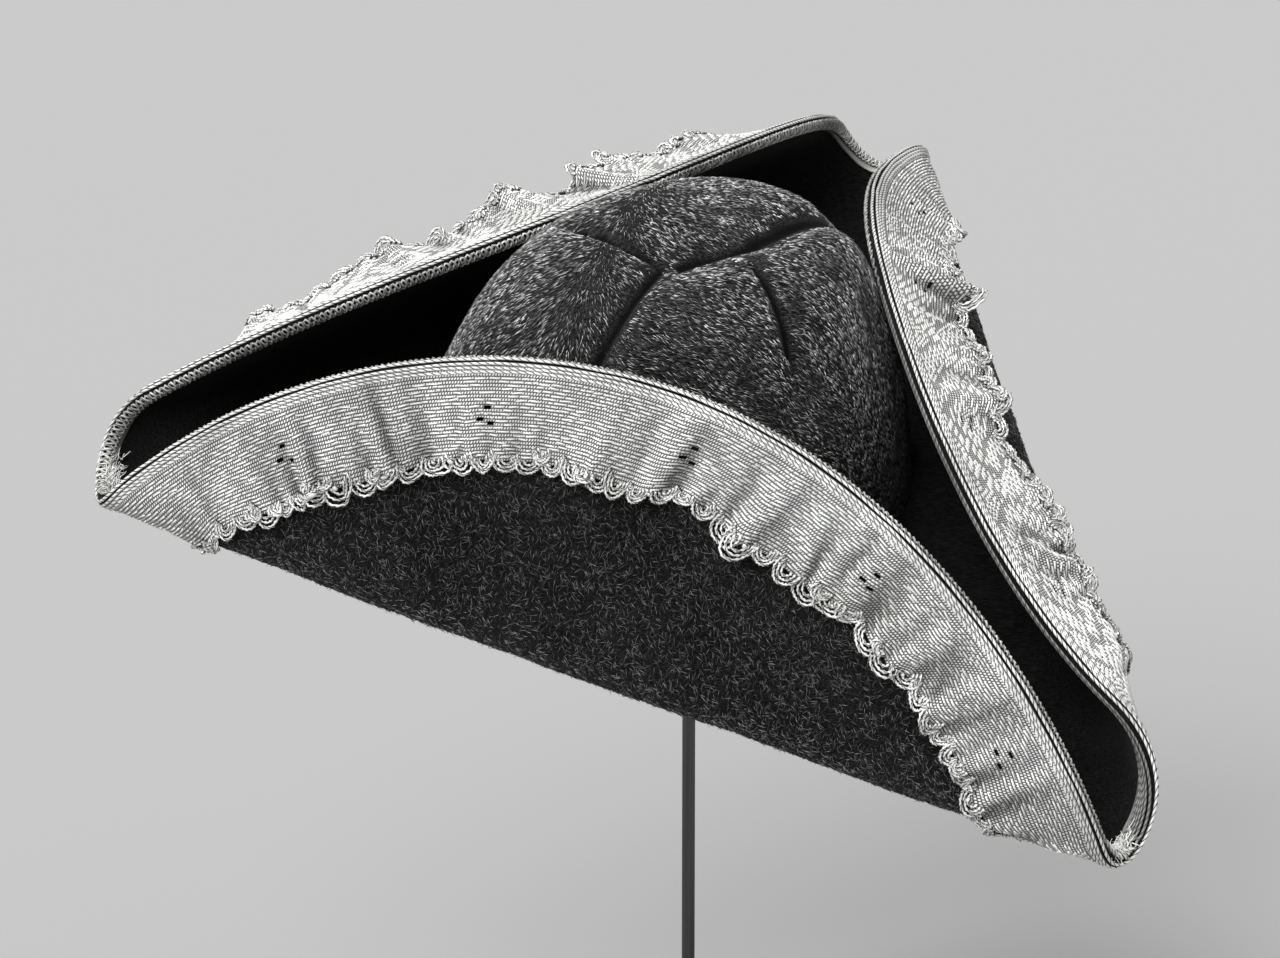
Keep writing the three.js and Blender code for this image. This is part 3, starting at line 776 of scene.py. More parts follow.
def on_lace(s, w, lift=0.0):
    """Places on the outer side of the lace, between the points of its grid."""
    column = np.mod(s, edge_length) / edge_length * lace_columns
    row = np.asarray(w, float) / LACE_WIDTH * (LACE_ROWS - 1)
    c0 = np.floor(column).astype(int) % lace_columns
    r0 = np.clip(np.floor(row).astype(int), 0, LACE_ROWS - 2)
    fc = (column - np.floor(column))[..., None]
    fr = (row - r0)[..., None]
    c1 = (c0 + 1) % lace_columns

    def mixed(grid):
        near = grid[r0, c0] * (1 - fc) + grid[r0, c1] * fc
        far = grid[r0 + 1, c0] * (1 - fc) + grid[r0 + 1, c1] * fc
        return near * (1 - fr) + far * fr

    out = unit(mixed(lace_out))
    return mixed(lace_grid) + out * np.asarray(lift)[..., None], out


def painted_shade_at(s, w):
    column = np.round(np.mod(s, edge_length) / edge_length * lace_columns).astype(int) % lace_columns
    row = np.clip(np.round(np.asarray(w) / LACE_WIDTH * (LACE_ROWS - 1)).astype(int), 0, LACE_ROWS - 1)
    return lace_painted_shade[row, column]


def set_darkening(piece, values):
    layer = piece.data.attributes.new("darkening", "FLOAT", "POINT")
    layer.data.foreach_set("value", values.astype(np.float32).ravel())


# %% [markdown]
# The lace's weave is a pointed twill: flat silver threads float over the ground in short dashes,
# and each row of dashes is shifted a little, so the dashes make nested diamonds. In the middle of
# each second diamond are three eyelets, which are real holes here.

# %% The lace's pattern
MOTIF_LENGTH = 44.0
MOTIF_MIDDLE = 21.0
EYELETS = ((-0.6, -4.4), (1.2, 2.3), (-3.6, 1.4))
EYELET_RADIUS = 0.9
EYELET_STRETCH = 2.0

motif_count = int(round(edge_length / MOTIF_LENGTH / 2)) * 2
motif_length = edge_length / motif_count
eyelets = np.array([
    (motif_length * (index + 0.5) + ds, MOTIF_MIDDLE + dw)
    for index in range(0, motif_count, 2) for ds, dw in EYELETS
])
# Each eyelet moves to the nearest meeting of two squares of the lace's grid, so its rim is straight
column_step, row_step = edge_length / lace_columns, lace_w[1]
eyelets[:, 0] = np.round(eyelets[:, 0] / column_step) * column_step
eyelets[:, 1] = (np.floor(eyelets[:, 1] / row_step) + 0.5) * row_step
print("diamonds:", motif_count, "of", round(motif_length, 1), "mm, eyelets:", len(eyelets))


def from_eyelet(s, w):
    ds = np.mod(s[:, None] - eyelets[:, 0] + edge_length / 2, edge_length) - edge_length / 2
    return np.hypot(ds / EYELET_STRETCH, w[:, None] - eyelets[:, 1]).min(axis=1)


# %% [markdown]
# Silver thread: a silk core wound with a thin flat wire of silver, gone slightly grey. It shines
# softly in small separate glints. The ground of the lace is the same thread woven tight, so it
# has a fine grid of threads across and along, drawn from the band's own UV map in millimetres.
# Real threads lie less than half a millimetre apart, too fine to show at this distance, so rows,
# threads and windings are drawn at least twice as coarse.

# %% Silver thread materials
TARNISH_MM = 25
ROW_PITCH = 1.35
HATCH_MM = 1.15
HATCH_DEPTH = 1.0
ROW_DEPTH = 1.0
HATCH_STEP = 0.37
HATCH_SHARPNESS = 1.7
ROW_SHARPNESS = 2.0
WIRE_MM = 3.0
WIRE_TURNS = 2.0
THREAD_RELIEF = 0.4 * MM
VALLEY_SHADE = 0.68


def silver_thread(name, colour, dark, metal, rough):
    """Returns the material, its shader and its colour, which darkens in patches of tarnish and where the
    darkening attribute says, which on the lace is painted shade.
    """
    material, shader = new_material(name, colour, rough, Metallic=metal)
    place = node(material, "ShaderNodeTexCoord").outputs["Object"]
    tarnish = node(
        material, "ShaderNodeTexNoise",
        {"Vector": place, "Scale": 1 / (TARNISH_MM * MM), "Detail": 6.0})
    tones = node(material, "ShaderNodeValToRGB", {"Fac": tarnish.outputs["Fac"]})
    tones.color_ramp.elements[0].position = 0.3
    tones.color_ramp.elements[0].color = linear(dark)
    tones.color_ramp.elements[1].position = 0.6
    tones.color_ramp.elements[1].color = linear(colour)
    # The darkening attribute mixes in dark grey; on the lace it is painted shade.
    darkening = node(material, "ShaderNodeAttribute", attribute_name="darkening", attribute_type="GEOMETRY")
    dusk = maths(material, "MULTIPLY", darkening.outputs["Fac"], VALLEY_SHADE)
    tone = blended(material, "MIX", dusk, tones.outputs["Color"], linear("#3a3a39"))
    material.node_tree.links.new(tone, shader.inputs["Base Color"])
    return material, shader, tone


def line_at(material, place, sharpness):
    """1 on thin lines where place is a whole number, 0 between them."""
    wave = maths(material, "COSINE", maths(material, "MULTIPLY", place, 2 * math.pi))
    raised = maths(material, "MULTIPLY", maths(material, "ADD", wave, 1.0), 0.5)
    return maths(material, "POWER", raised, sharpness)


def wound_thread(name, colour, dark, metal, rough, gap_tone):
    """Silver thread whose winding shows as dark slanting lines, drawn on a tube's own UV map."""
    material, shader, tone = silver_thread(name, colour, dark, metal, rough)
    uv = node(material, "ShaderNodeUVMap", uv_map="winding").outputs["UV"]
    apart = node(material, "ShaderNodeSeparateXYZ", {"Vector": uv})
    rounds = maths(material, "MULTIPLY", apart.outputs["Y"], WIRE_TURNS)
    along = maths(material, "MULTIPLY", apart.outputs["X"], 1 / WIRE_MM)
    turned = maths(material, "ADD", along, rounds)
    wave = maths(material, "COSINE", maths(material, "MULTIPLY", turned, 2 * math.pi))
    line = node(material, "ShaderNodeMapRange", {"Value": wave, "From Min": 0.45, "From Max": 0.95})
    gap = blended(material, "MIX", line.outputs["Result"], tone, linear(gap_tone))
    material.node_tree.links.new(gap, shader.inputs["Base Color"])
    bump = node(
        material, "ShaderNodeBump",
        {"Height": line.outputs["Result"], "Strength": 0.6, "Distance": THREAD_RELIEF}, invert=True)
    material.node_tree.links.new(bump.outputs["Normal"], shader.inputs["Normal"])
    return material


# %% The ground of the lace, and its threads
ground_material, shader, tone = silver_thread("woven_silver_ground", "#ffffff", "#d0d0cd", 0.1, 0.5)
uv = node(ground_material, "ShaderNodeUVMap", uv_map="lace_mm").outputs["UV"]
apart = node(ground_material, "ShaderNodeSeparateXYZ", {"Vector": uv})
row_place = maths(ground_material, "MULTIPLY", apart.outputs["Y"], 1 / ROW_PITCH)
row_number = maths(ground_material, "FLOOR", row_place)
slanted = maths(ground_material, "MULTIPLY", row_place, 0.5)
stepped = maths(ground_material, "MULTIPLY", row_number, HATCH_STEP)
hatch = maths(ground_material, "MULTIPLY", apart.outputs["X"], 1 / HATCH_MM)
hatch = maths(ground_material, "ADD", maths(ground_material, "ADD", hatch, slanted), stepped)
hatch_lines = line_at(ground_material, hatch, HATCH_SHARPNESS)
row_lines = line_at(ground_material, row_place, ROW_SHARPNESS)
gaps = maths(
    ground_material, "MAXIMUM", maths(ground_material, "MULTIPLY", hatch_lines, HATCH_DEPTH),
    maths(ground_material, "MULTIPLY", row_lines, ROW_DEPTH))
ground_colour = blended(ground_material, "MIX", gaps, tone, linear("#0c0c0b"))
ground_material.node_tree.links.new(ground_colour, shader.inputs["Base Color"])
bump = node(
    ground_material, "ShaderNodeBump",
    {"Height": gaps, "Strength": 0.8, "Distance": THREAD_RELIEF}, invert=True)
ground_material.node_tree.links.new(bump.outputs["Normal"], shader.inputs["Normal"])
thread_material = silver_thread("silver_wound_thread", "#fcfcfa", "#d2d2cf", 0.1, 0.4)[0]
cord_material = wound_thread("silver_cord", "#f0f0ee", "#bebebb", 0.1, 0.4, "#343433")
braid_material = wound_thread("dulled_silver_braid", "#cfcfcc", "#8c8c89", 0.2, 0.45, "#2c2c2b")
tape_material = silver_thread("dulled_silver_tape", "#b6b6b3", "#7c7c7a", 0.2, 0.5)[0]
print("rows of the lace:", ROW_PITCH, "mm apart")

# %% [markdown]
# The woven part of the lace is one sheet that follows the gathers. It could be simulated as cloth,
# but a sheet laid on a worked-out surface stays where the CAD gathers are. Its grid gets a UV map
# that measures along the edge and across the band in millimetres, so the weave never stretches,
# and the squares at an eyelet are left open.

# %% The lace sheet
LACE_SHEET_THICKNESS = 0.6

body_rows = int(np.searchsorted(lace_w, LACE_BODY, side="right"))
quads = grid_faces(body_rows, lace_columns)
quad_row, quad_column = np.divmod(np.arange(len(quads)), lace_columns)
quad_s = (quad_column + 0.5) * edge_length / lace_columns
quad_w = (quad_row + 0.5) * lace_w[1]
kept = from_eyelet(quad_s, quad_w) > EYELET_RADIUS
lace = mesh_piece("lace_sheet", lace_grid[:body_rows].reshape(-1, 3), [quads[kept]], ground_material)
uv_layer = lace.data.uv_layers.new(name="lace_mm")
corner_column = np.stack([quad_column, quad_column, quad_column + 1, quad_column + 1], axis=-1)
corner_s = corner_column * edge_length / lace_columns
corner_w = np.stack([quad_row, quad_row + 1, quad_row + 1, quad_row], axis=-1) * lace_w[1]
lace_uv = np.stack([corner_s[kept], corner_w[kept]], axis=-1)
uv_layer.data.foreach_set("uv", lace_uv.astype(np.float32).ravel())
set_darkening(lace, lace_painted_shade[:body_rows])
solidify = lace.modifiers.new("thickness", "SOLIDIFY")
solidify.thickness = LACE_SHEET_THICKNESS * MM
solidify.offset = 0
bpy.context.view_layer.objects.active = lace
bpy.ops.object.modifier_apply(modifier="thickness")
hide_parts("lace_band")

# %% [markdown]
# In the pattern, thread passes over several others and stands proud of the ground. A bump would
# look flat here, where the lace is seen on edge at each gather. So each float is a small spindle of
# twelve triangles that lies on the sheet, and its length, place and slant vary a little, as in
# hand-guided work.

# %% Floating threads
BAR_ENDS = (-0.5, -0.43, 0.43, 0.5)
BAR_LIFT = 0.2


def bars(s, w, length, slant, half_width, high):
    """Spindle-shaped dashes on the lace: 12 triangles each."""
    reach = np.array(BAR_ENDS)[None, :] * length[:, None]
    bar_s = s[:, None] + reach * np.cos(slant)[:, None]
    bar_w = w[:, None] + reach * np.sin(slant)[:, None]
    points, out = on_lace(bar_s, bar_w, BAR_LIFT)
    along = unit(points[:, 3] - points[:, 0])
    points = points[:, (0, 1, 1, 1, 2, 2, 2, 3)]
    side = unit(np.cross(out[:, 1], along)) * half_width
    rise = out[:, 1] * high
    for corner, sideways, upward in ((1, -1, 0), (2, 0, 1), (3, 1, 0), (4, -1, 0), (5, 0, 1), (6, 1, 0)):
        points[:, corner] += sideways * side + upward * rise
    shape = np.array((
        (0, 1, 2), (0, 2, 3), (0, 3, 1), (7, 5, 4), (7, 6, 5), (7, 4, 6),
        (1, 4, 5), (1, 5, 2), (2, 5, 6), (2, 6, 3), (3, 6, 4), (3, 4, 1)))
    faces = shape[None] + (np.arange(len(s)) * 8)[:, None, None]
    return points.reshape(-1, 3), faces.reshape(-1, 3)


# %% The pattern of the floats
FLOAT_LENGTH = 4.5
FLOAT_PITCH = 5.3
FLOAT_STEP = 1.7
SEED_LENGTH = 1.3
FIRST_ROW = 4.5 * ROW_PITCH
FLOAT_HALF_WIDTH = 0.43
FLOAT_HIGH = 0.65
# The nested diamonds: rings of long floats, short floats, small seeds and bare hatched ground, each
# out to this distance from the diamond's middle. The last distance lies past the pattern's corners.
RINGS = (
    (7.0, "seeds"), (14.0, "floats"), (18.5, "bare"), (28.0, "floats"), (32.0, "bare"), (36.0, "short"),
    (46.0, "floats"), (50.0, "bare"), (99.0, "short"))
DIAMOND_SLOPE = 1.15
FLOAT_RAGGED = 1.2
SHORT_RAGGED = 0.8
SHORT_LENGTH = 2.1
SHORT_PITCH = 2.65
SHORT_STEP = 0.85
SEED_REACH = 7.5
SEED_PITCH = 1.75
SEED_STEP = 0.87
# How far a float strays along and across, its length's range, its slant, and its clear of eyelets
STRAY_ALONG = 0.15
STRAY_ACROSS = 0.12
LENGTH_RANGE = (0.75, 1.08)
SLANT_SPREAD = 0.075
CLEAR_OF_EYELET = 0.6


def weave_at(ds, dw, uneven):
    distance = abs(ds) + DIAMOND_SLOPE * abs(dw) + uneven
    return next(kind for reach, kind in RINGS if distance < reach)


# %% Laying the floats
draw = np.random.default_rng(11)
repeat_length = edge_length / (motif_count / 2)
floats = []
for index in range(motif_count // 2):
    middle_s = edge_length / motif_count * (2 * index + 0.5)
    for count, row_w in enumerate(np.arange(FIRST_ROW, LACE_BODY - 0.4, ROW_PITCH)):
        dw = row_w - MOTIF_MIDDLE
        steps = int(round(abs(dw) / ROW_PITCH))
        shift = (FLOAT_STEP * steps) % FLOAT_PITCH
        for ds in np.arange(shift, repeat_length / 2, FLOAT_PITCH):
            for side in (-1, 1):
                if weave_at(ds, dw, draw.normal(0, FLOAT_RAGGED)) == "floats":
                    floats.append((middle_s + side * ds, row_w, FLOAT_LENGTH, 0.0))
        shift = (SHORT_STEP * steps) % SHORT_PITCH
        for ds in np.arange(shift, repeat_length / 2, SHORT_PITCH):
            for side in (-1, 1):
                if weave_at(ds, dw, draw.normal(0, SHORT_RAGGED)) == "short":
                    floats.append((middle_s + side * ds, row_w, SHORT_LENGTH, 0.0))
        for ds in np.arange(-SEED_REACH, SEED_REACH, SEED_PITCH):
            jog = SEED_STEP * (count % 2)
            if weave_at(ds + jog, dw, 0) == "seeds":
                floats.append((middle_s + ds + jog, row_w, SEED_LENGTH, 0.0))
float_s, float_w, float_length, float_slant = np.array(floats).T
float_s = float_s + draw.normal(0, STRAY_ALONG, len(float_s))
float_w = float_w + draw.normal(0, STRAY_ACROSS, len(float_s))
float_length = float_length * draw.uniform(*LENGTH_RANGE, len(float_s))
float_slant = float_slant + draw.normal(0, SLANT_SPREAD, len(float_s))
clear = from_eyelet(float_s, float_w) > EYELET_RADIUS + CLEAR_OF_EYELET
points, faces = bars(
    float_s[clear], float_w[clear], float_length[clear], float_slant[clear], FLOAT_HALF_WIDTH, FLOAT_HIGH)
lace_floats = mesh_piece("lace_floats", points, [faces], thread_material)
set_darkening(lace_floats, np.repeat(painted_shade_at(float_s[clear], float_w[clear]), 8))

# %% [markdown]
# Cords edge the band. Along the rim four of them lie side by side, and at the free edge cords run
# in small loops, called picots. A curve with a round bevel would do, but it has no UV map in real
# millimetres. So a helper lays tubes of few sides along lines and measures their winding. The
# edge cords are plain five-sided tubes whose winding the material draws.

# %% Tubes along lines


def tubes(lines, ups, radius, sides, twist, spacing, closed):
    """Tubes round many lines at once: lines and ups are (count, steps, 3), radius is (count, steps).
    Twist is the turn from step to step, and spacing the steps' distance in mm for the UV map."""
    count, steps = lines.shape[:2]
    ahead = np.roll(lines, -1, axis=1) - np.roll(lines, 1, axis=1)
    if not closed:
        ahead[:, 0] = lines[:, 1] - lines[:, 0]
        ahead[:, -1] = lines[:, -1] - lines[:, -2]
    ahead = unit(ahead)
    sideways = unit(np.cross(ahead, ups))
    upright = np.cross(sideways, ahead)
    turn = 2 * np.pi * np.arange(sides) / sides
    turn = turn[None, None] + (twist * np.arange(steps))[None, :, None]
    ring = np.cos(turn)[..., None] * sideways[:, :, None] + np.sin(turn)[..., None] * upright[:, :, None]
    points = lines[:, :, None] + ring * radius[:, :, None, None]
    single = grid_faces(steps + 1 if closed else steps, sides)
    if closed:
        single = np.mod(single, steps * sides)
    ring_number, side_number = np.divmod(np.arange(len(single)), sides)
    places = np.stack([ring_number, ring_number + 1, ring_number + 1, ring_number], axis=-1) * spacing
    rounds = np.stack([side_number, side_number, side_number + 1, side_number + 1], axis=-1) / sides
    winding = np.tile(np.stack([places, rounds], axis=-1)[None], (count, 1, 1, 1)).reshape(-1, 2)
    starts = (np.arange(count) * steps * sides)[:, None, None]
    walls = (single[None] + starts).reshape(-1, 4)
    if closed:
        return points.reshape(-1, 3), [walls], winding
    cap = np.arange(sides)
    first = (cap[None, :] + starts[:, 0])
    last = (cap[::-1][None, :] + (steps - 1) * sides + starts[:, 0])
    winding = np.concatenate([winding, np.zeros((2 * count * sides, 2))])
    return points.reshape(-1, 3), [walls, first, last], winding


def set_winding(piece, winding):
    layer = piece.data.uv_layers.new(name="winding")
    layer.data.foreach_set("uv", winding.astype(np.float32).ravel())


# %% Edge cords
# Each cord: place across the band, and lift; the first wraps the corner of the edge
EDGE_CORDS = ((-1.0, -0.75), (0.65, 0.35), (2.15, 0.4), (3.65, 0.4))
CORD_RADIUS = 0.62
CORD_STEP = 1.4
CORD_SIDES = 5
# Each wander of a cord: reach, length, and how much it differs from cord to cord
CORD_WANDERS = ((0.12, 9.0, 2), (0.08, 3.7, 1))

cord_steps = int(edge_length / CORD_STEP / 4) * 4
cord_s = np.arange(cord_steps) * edge_length / cord_steps
lines, ups = [], []
for count, (w, lift) in enumerate(EDGE_CORDS):
    wander = sum(reach * np.sin(cord_s / length + apart * count) for reach, length, apart in CORD_WANDERS)
    points, out = on_lace(cord_s, w + wander, lift)
    lines.append(points)
    ups.append(out)
cord_radii = np.full((len(EDGE_CORDS), cord_steps), CORD_RADIUS)
points, faces, winding = tubes(
    np.array(lines), np.array(ups), cord_radii, CORD_SIDES, 0, CORD_STEP, True)
edge_cords = mesh_piece("edge_cords", points, faces, cord_material)
set_winding(edge_cords, winding)

# %% [markdown]
# A picot is a loop of crimped cord at the free edge of the lace. Each is made of three nested loops
# and a knot beside it. A copied mesh would repeat, so every loop gets its own size, turn and tilt
# from a seeded draw, and about a fifth more of them are small and curled on top of the rest. The
# cord is a four-sided tube that twists as it goes and swells at each second step, which reads as
# crimped thread with few faces.

# %% Picot loops
PICOT_PITCH = 10.5
# Each ring of a picot: radius, steps, and the radius of its cord
PICOT_RINGS = ((5.2, 26, 0.66), (3.65, 20, 0.6), (2.2, 12, 0.58))
CURLED_SHARE = 0.22
CURLED_SIZE = 0.6
CURLED_LIFT = 1.1
PICOT_STRAY = 0.7
PICOT_SIZES = (0.78, 1.15)
PICOT_TURN = 0.22
PICOT_TILT = (0.15, 0.45)
PICOT_SINK = 0.6
PICOT_STRETCH = 1.12
PICOT_OPENING = 0.5
PICOT_TILT_REACH = 5.3
WOBBLE = 0.05
BEADS = (0.7, 1.3)
SMALLER_FLAP = 2
SMALLER_SIZE = 0.78
KNOT_RADIUS = 1.15
KNOT_PLACES = np.array((-0.9, -0.3, 0.3, 0.9))
KNOT_SHAPE = np.array((0.45, 1, 1, 0.45))

picot_count = int(round(edge_length / PICOT_PITCH))
picot_pitch = edge_length / picot_count
draw = np.random.default_rng(23)
picot_s = (np.arange(picot_count) + 0.5) * picot_pitch + draw.normal(0, PICOT_STRAY, picot_count)
extra = draw.choice(picot_count, int(picot_count * CURLED_SHARE), replace=False)
picot_s = np.concatenate([picot_s, picot_s[extra] + draw.uniform(3, 6, len(extra))])
curled = np.arange(len(picot_s)) >= picot_count
picot_count = len(picot_s)
picot_size = np.where(curled, CURLED_SIZE, 1.0) * draw.uniform(*PICOT_SIZES, picot_count)
picot_turn = draw.normal(0, PICOT_TURN, picot_count)
picot_size = picot_size * np.where(at_s(picot_s)[1] == SMALLER_FLAP, SMALLER_SIZE, 1.0)
curled_sink, plain_sink = draw.uniform(0, 3, picot_count), draw.uniform(-0.4, 0.9, picot_count)
picot_w = LACE_BODY - PICOT_SINK - np.where(curled, curled_sink, plain_sink)
# Neighbours lie at two heights, so that they overlap without touching
picot_lift = np.where(np.arange(picot_count) % 2, 0.2, 0.8) + draw.uniform(0, 0.5, picot_count)
picot_lift = picot_lift + CURLED_LIFT * curled
picot_tilt = draw.normal(*PICOT_TILT, picot_count)
# %% The picots' cords and knots
all_points, all_faces, all_windings, first = [], [], [], 0
for radius, steps, thick in PICOT_RINGS:
    turn = np.linspace(-PICOT_OPENING, np.pi + PICOT_OPENING, steps) + picot_turn[:, None]
    wobble = 1 + WOBBLE * np.sin(3 * turn + 9 * picot_turn[:, None])
    loop_radius = picot_size[:, None] * radius * wobble
    loop_s = picot_s[:, None] + loop_radius * np.cos(turn) * PICOT_STRETCH
    loop_w = picot_w[:, None] + loop_radius * np.sin(turn)
    lift = picot_lift[:, None] + picot_tilt[:, None] * np.sin(turn) * (radius / PICOT_TILT_REACH)
    lines, ups = on_lace(loop_s, loop_w, lift)
    beads = thick * np.where(np.arange(steps) % 2, BEADS[1], BEADS[0]) * np.ones((picot_count, 1))
    points, faces, winding = tubes(lines, ups, beads, 4, 0.5, 0.9, False)
    all_points.append(points)
    all_faces += [f + first for f in faces]
    all_windings.append(winding)
    first += len(points)
knot_s = picot_s + draw.normal(0.5, 0.3, picot_count) * picot_pitch
knot_w = np.full((picot_count, 1), LACE_BODY - 0.3)
knot_lines, knot_ups = on_lace(knot_s[:, None] + KNOT_PLACES, knot_w, picot_lift[:, None])
knot_radii = KNOT_RADIUS * draw.uniform(0.6, 1.15, (picot_count, 1)) * KNOT_SHAPE
points, faces, winding = tubes(knot_lines, knot_ups, knot_radii, 6, 0.2, 0.6, False)
all_points.append(points)
all_faces += [f + first for f in faces]
all_windings.append(winding)
picots = mesh_piece("picot_loops", np.concatenate(all_points), all_faces, cord_material)
set_winding(picots, np.concatenate(all_windings))
print("picots:", picot_count, "of them curled:", int(curled.sum()))

# %% [markdown]
# Inside the brim the lace's sewn edge is covered by a narrow flat tape, and a braid of three silver
# strands hides the seam along the very edge. Where the right flap begins the tape is wide and its
# cords lie side by side. A real braid's strands go over and under each other, so each strand here is
# a tube that swings across twice as slowly as it rises, a third of a turn after the one before it.

# %% Inner tape
TAPE_LIFT = 1.75
TAPE_THICKNESS = 0.4
TAPE_TOP = 1.8
TAPE_NARROW = 3.0
TAPE_WIDE = 6.2
TAPE_ROWS = 4
# The tape is wide on this flap, from its corner to this even share, and eases in and out
BROAD_FLAP = 1
BROAD_TO = 0.62
BROAD_EASE_IN = 0.03
BROAD_EASE_OUT = 0.12
WRAP_RADIUS = 1.9
WRAP_SINK = 1.0


def inside_edge(s, fall, lift):
    """Places inside the brim, at a fall from the edge and a lift off the felt's middle."""
    points, normals = with_normals(edge_zone_at, at_s(s)[0], -np.asarray(fall, float))
    return points + normals * np.asarray(lift)[..., None], normals


def over_edge(s, way, off):
    """Places round the inner corner of the edge: way runs from the top of the edge over and down."""
    turn = np.clip(way / WRAP_RADIUS, -0.3, np.pi / 2)[:, None]
    drop = np.maximum(way - WRAP_RADIUS * np.pi / 2, 0)[:, None]
    points, normals = inside_edge(s, np.zeros(len(s)), np.zeros(len(s)))
    upward = unit(points - inside_edge(s, np.full(len(s), 2.0), np.zeros(len(s)))[0])
    out = np.sin(turn) * normals + np.cos(turn) * upward
    return points - (WRAP_SINK + drop) * upward + (WRAP_RADIUS + off)[:, None] * out, out


tape_columns = lace_columns // 2
tape_s = np.arange(tape_columns) * edge_length / tape_columns
tape_flap, tape_even = at_s(tape_s)[1:]
ease_in = np.clip(tape_even / BROAD_EASE_IN, 0, 1)
ease_out = np.clip((BROAD_TO - tape_even) / BROAD_EASE_OUT, 0, 1)
broad = np.where(tape_flap == BROAD_FLAP, ease_out * ease_in, 0)
tape_width = TAPE_NARROW + (TAPE_WIDE - TAPE_NARROW) * broad
tape_rows = []
for share in np.linspace(0, 1, TAPE_ROWS):
    row_fall = TAPE_TOP + tape_width * share
    tape_rows.append(inside_edge(tape_s, row_fall, np.full(tape_columns, TAPE_LIFT))[0])
tape_faces = grid_faces(TAPE_ROWS, tape_columns)
tape = mesh_piece("inner_tape", np.concatenate(tape_rows), [tape_faces], tape_material)
solidify = tape.modifiers.new("thickness", "SOLIDIFY")
solidify.thickness = TAPE_THICKNESS * MM
solidify.offset = 0
bpy.context.view_layer.objects.active = tape
bpy.ops.object.modifier_apply(modifier="thickness")

# %% Three-strand braid
# The braid sits lower on the front flap, and its strands lie side by side where the tape is wide
BRAID_MIDDLE = 2.2
BRAID_LOWER = 1.3
LOWER_FLAP = 0
LOWER_EASE = 0.06
BRAID_PITCH = 6.6
BRAID_TURN_STEPS = 8
BRAID_SWING = 1.9
BRAID_RISE = 0.35
BRAID_RADIUS = 0.55
BRAID_SIDES = 5
CORD_APART = 1.3

braid_turns = int(round(edge_length / BRAID_PITCH))
braid_steps = braid_turns * BRAID_TURN_STEPS
braid_s = np.arange(braid_steps) * edge_length / braid_steps
lines, ups = [], []
broad_braid = np.interp(braid_s, tape_s, broad)
braid_flap, braid_even = at_s(braid_s)[1:]
from_corner = np.minimum(braid_even, 1 - braid_even)
lower = np.where(braid_flap == LOWER_FLAP, np.clip(from_corner / LOWER_EASE, 0, 1), 0)
for strand in range(3):
    phase = 2 * np.pi * (braid_turns * braid_s / edge_length + strand / 3)
    plaited = BRAID_SWING * np.sin(phase)
    side_by_side = (strand - 1) * CORD_APART
    way = BRAID_MIDDLE + BRAID_LOWER * lower + plaited * (1 - broad_braid) + side_by_side * broad_braid
    rise = BRAID_RISE * (1 + np.sin(2 * phase)) * (1 - broad_braid)
    points, out = over_edge(braid_s, way, BRAID_RADIUS + rise)
    lines.append(points)
    ups.append(out)
braid_radii = np.full((3, braid_steps), BRAID_RADIUS)
braid_spacing = BRAID_PITCH / BRAID_TURN_STEPS
points, faces, winding = tubes(
    np.array(lines), np.array(ups), braid_radii, BRAID_SIDES, 0, braid_spacing, True)
braid = mesh_piece("three_strand_braid", points, faces, braid_material)
set_winding(braid, winding)
# The braid is darkened where the tape is wide.
set_darkening(braid, np.repeat(np.tile(broad_braid, 3), BRAID_SIDES))

# %% More cords beside the braid on the wide part of the tape
WIDE_STEPS = 160
WIDE_CORDS = np.array((2, 3, 4))

wide_s = np.linspace(tape_s[broad > 0.5].min() - 4, tape_s[broad > 0.5].max() + 10, WIDE_STEPS)
wide_ways = (BRAID_MIDDLE + CORD_APART * WIDE_CORDS)[:, None] + 0.1 * np.sin(wide_s / 6)
lines, ups = [], []
for way in wide_ways:
    points, out = over_edge(wide_s, way, np.full(WIDE_STEPS, BRAID_RADIUS))
    lines.append(points)
    ups.append(out)
wide_spacing = (wide_s[-1] - wide_s[0]) / (WIDE_STEPS - 1)
wide_radii = np.full((len(WIDE_CORDS), WIDE_STEPS), BRAID_RADIUS)
points, faces, winding = tubes(
    np.array(lines), np.array(ups), wide_radii, BRAID_SIDES, 0, wide_spacing, False)
tape_cords = mesh_piece("tape_cords", points, faces, braid_material)
set_winding(tape_cords, winding)
# These cords are darkened throughout.
set_darkening(tape_cords, np.ones(len(points)))

# %% [markdown]
# At the two side points the braid's ends have come loose after long wear, and a tuft of short bent
# threads stands there. Hair curves could show them, but the piece has to be a mesh, so each thread
# is a thin three-sided tube with its own direction, length and curl.

# %% Frayed threads at the two side points
FRAYED_COUNT = 150
FRAYED_STEPS = 6
FRAYED_RADIUS = 0.24
FRAYED_SPREAD = 4.0
FRAYED_WAYS = (2.2, 8.5)
FRAYED_LIFT = 0.6
FRAYED_LENGTHS = (2.0, 5.5)
FRAYED_CURL = 1.6
FRAYED_BEND = 2.5

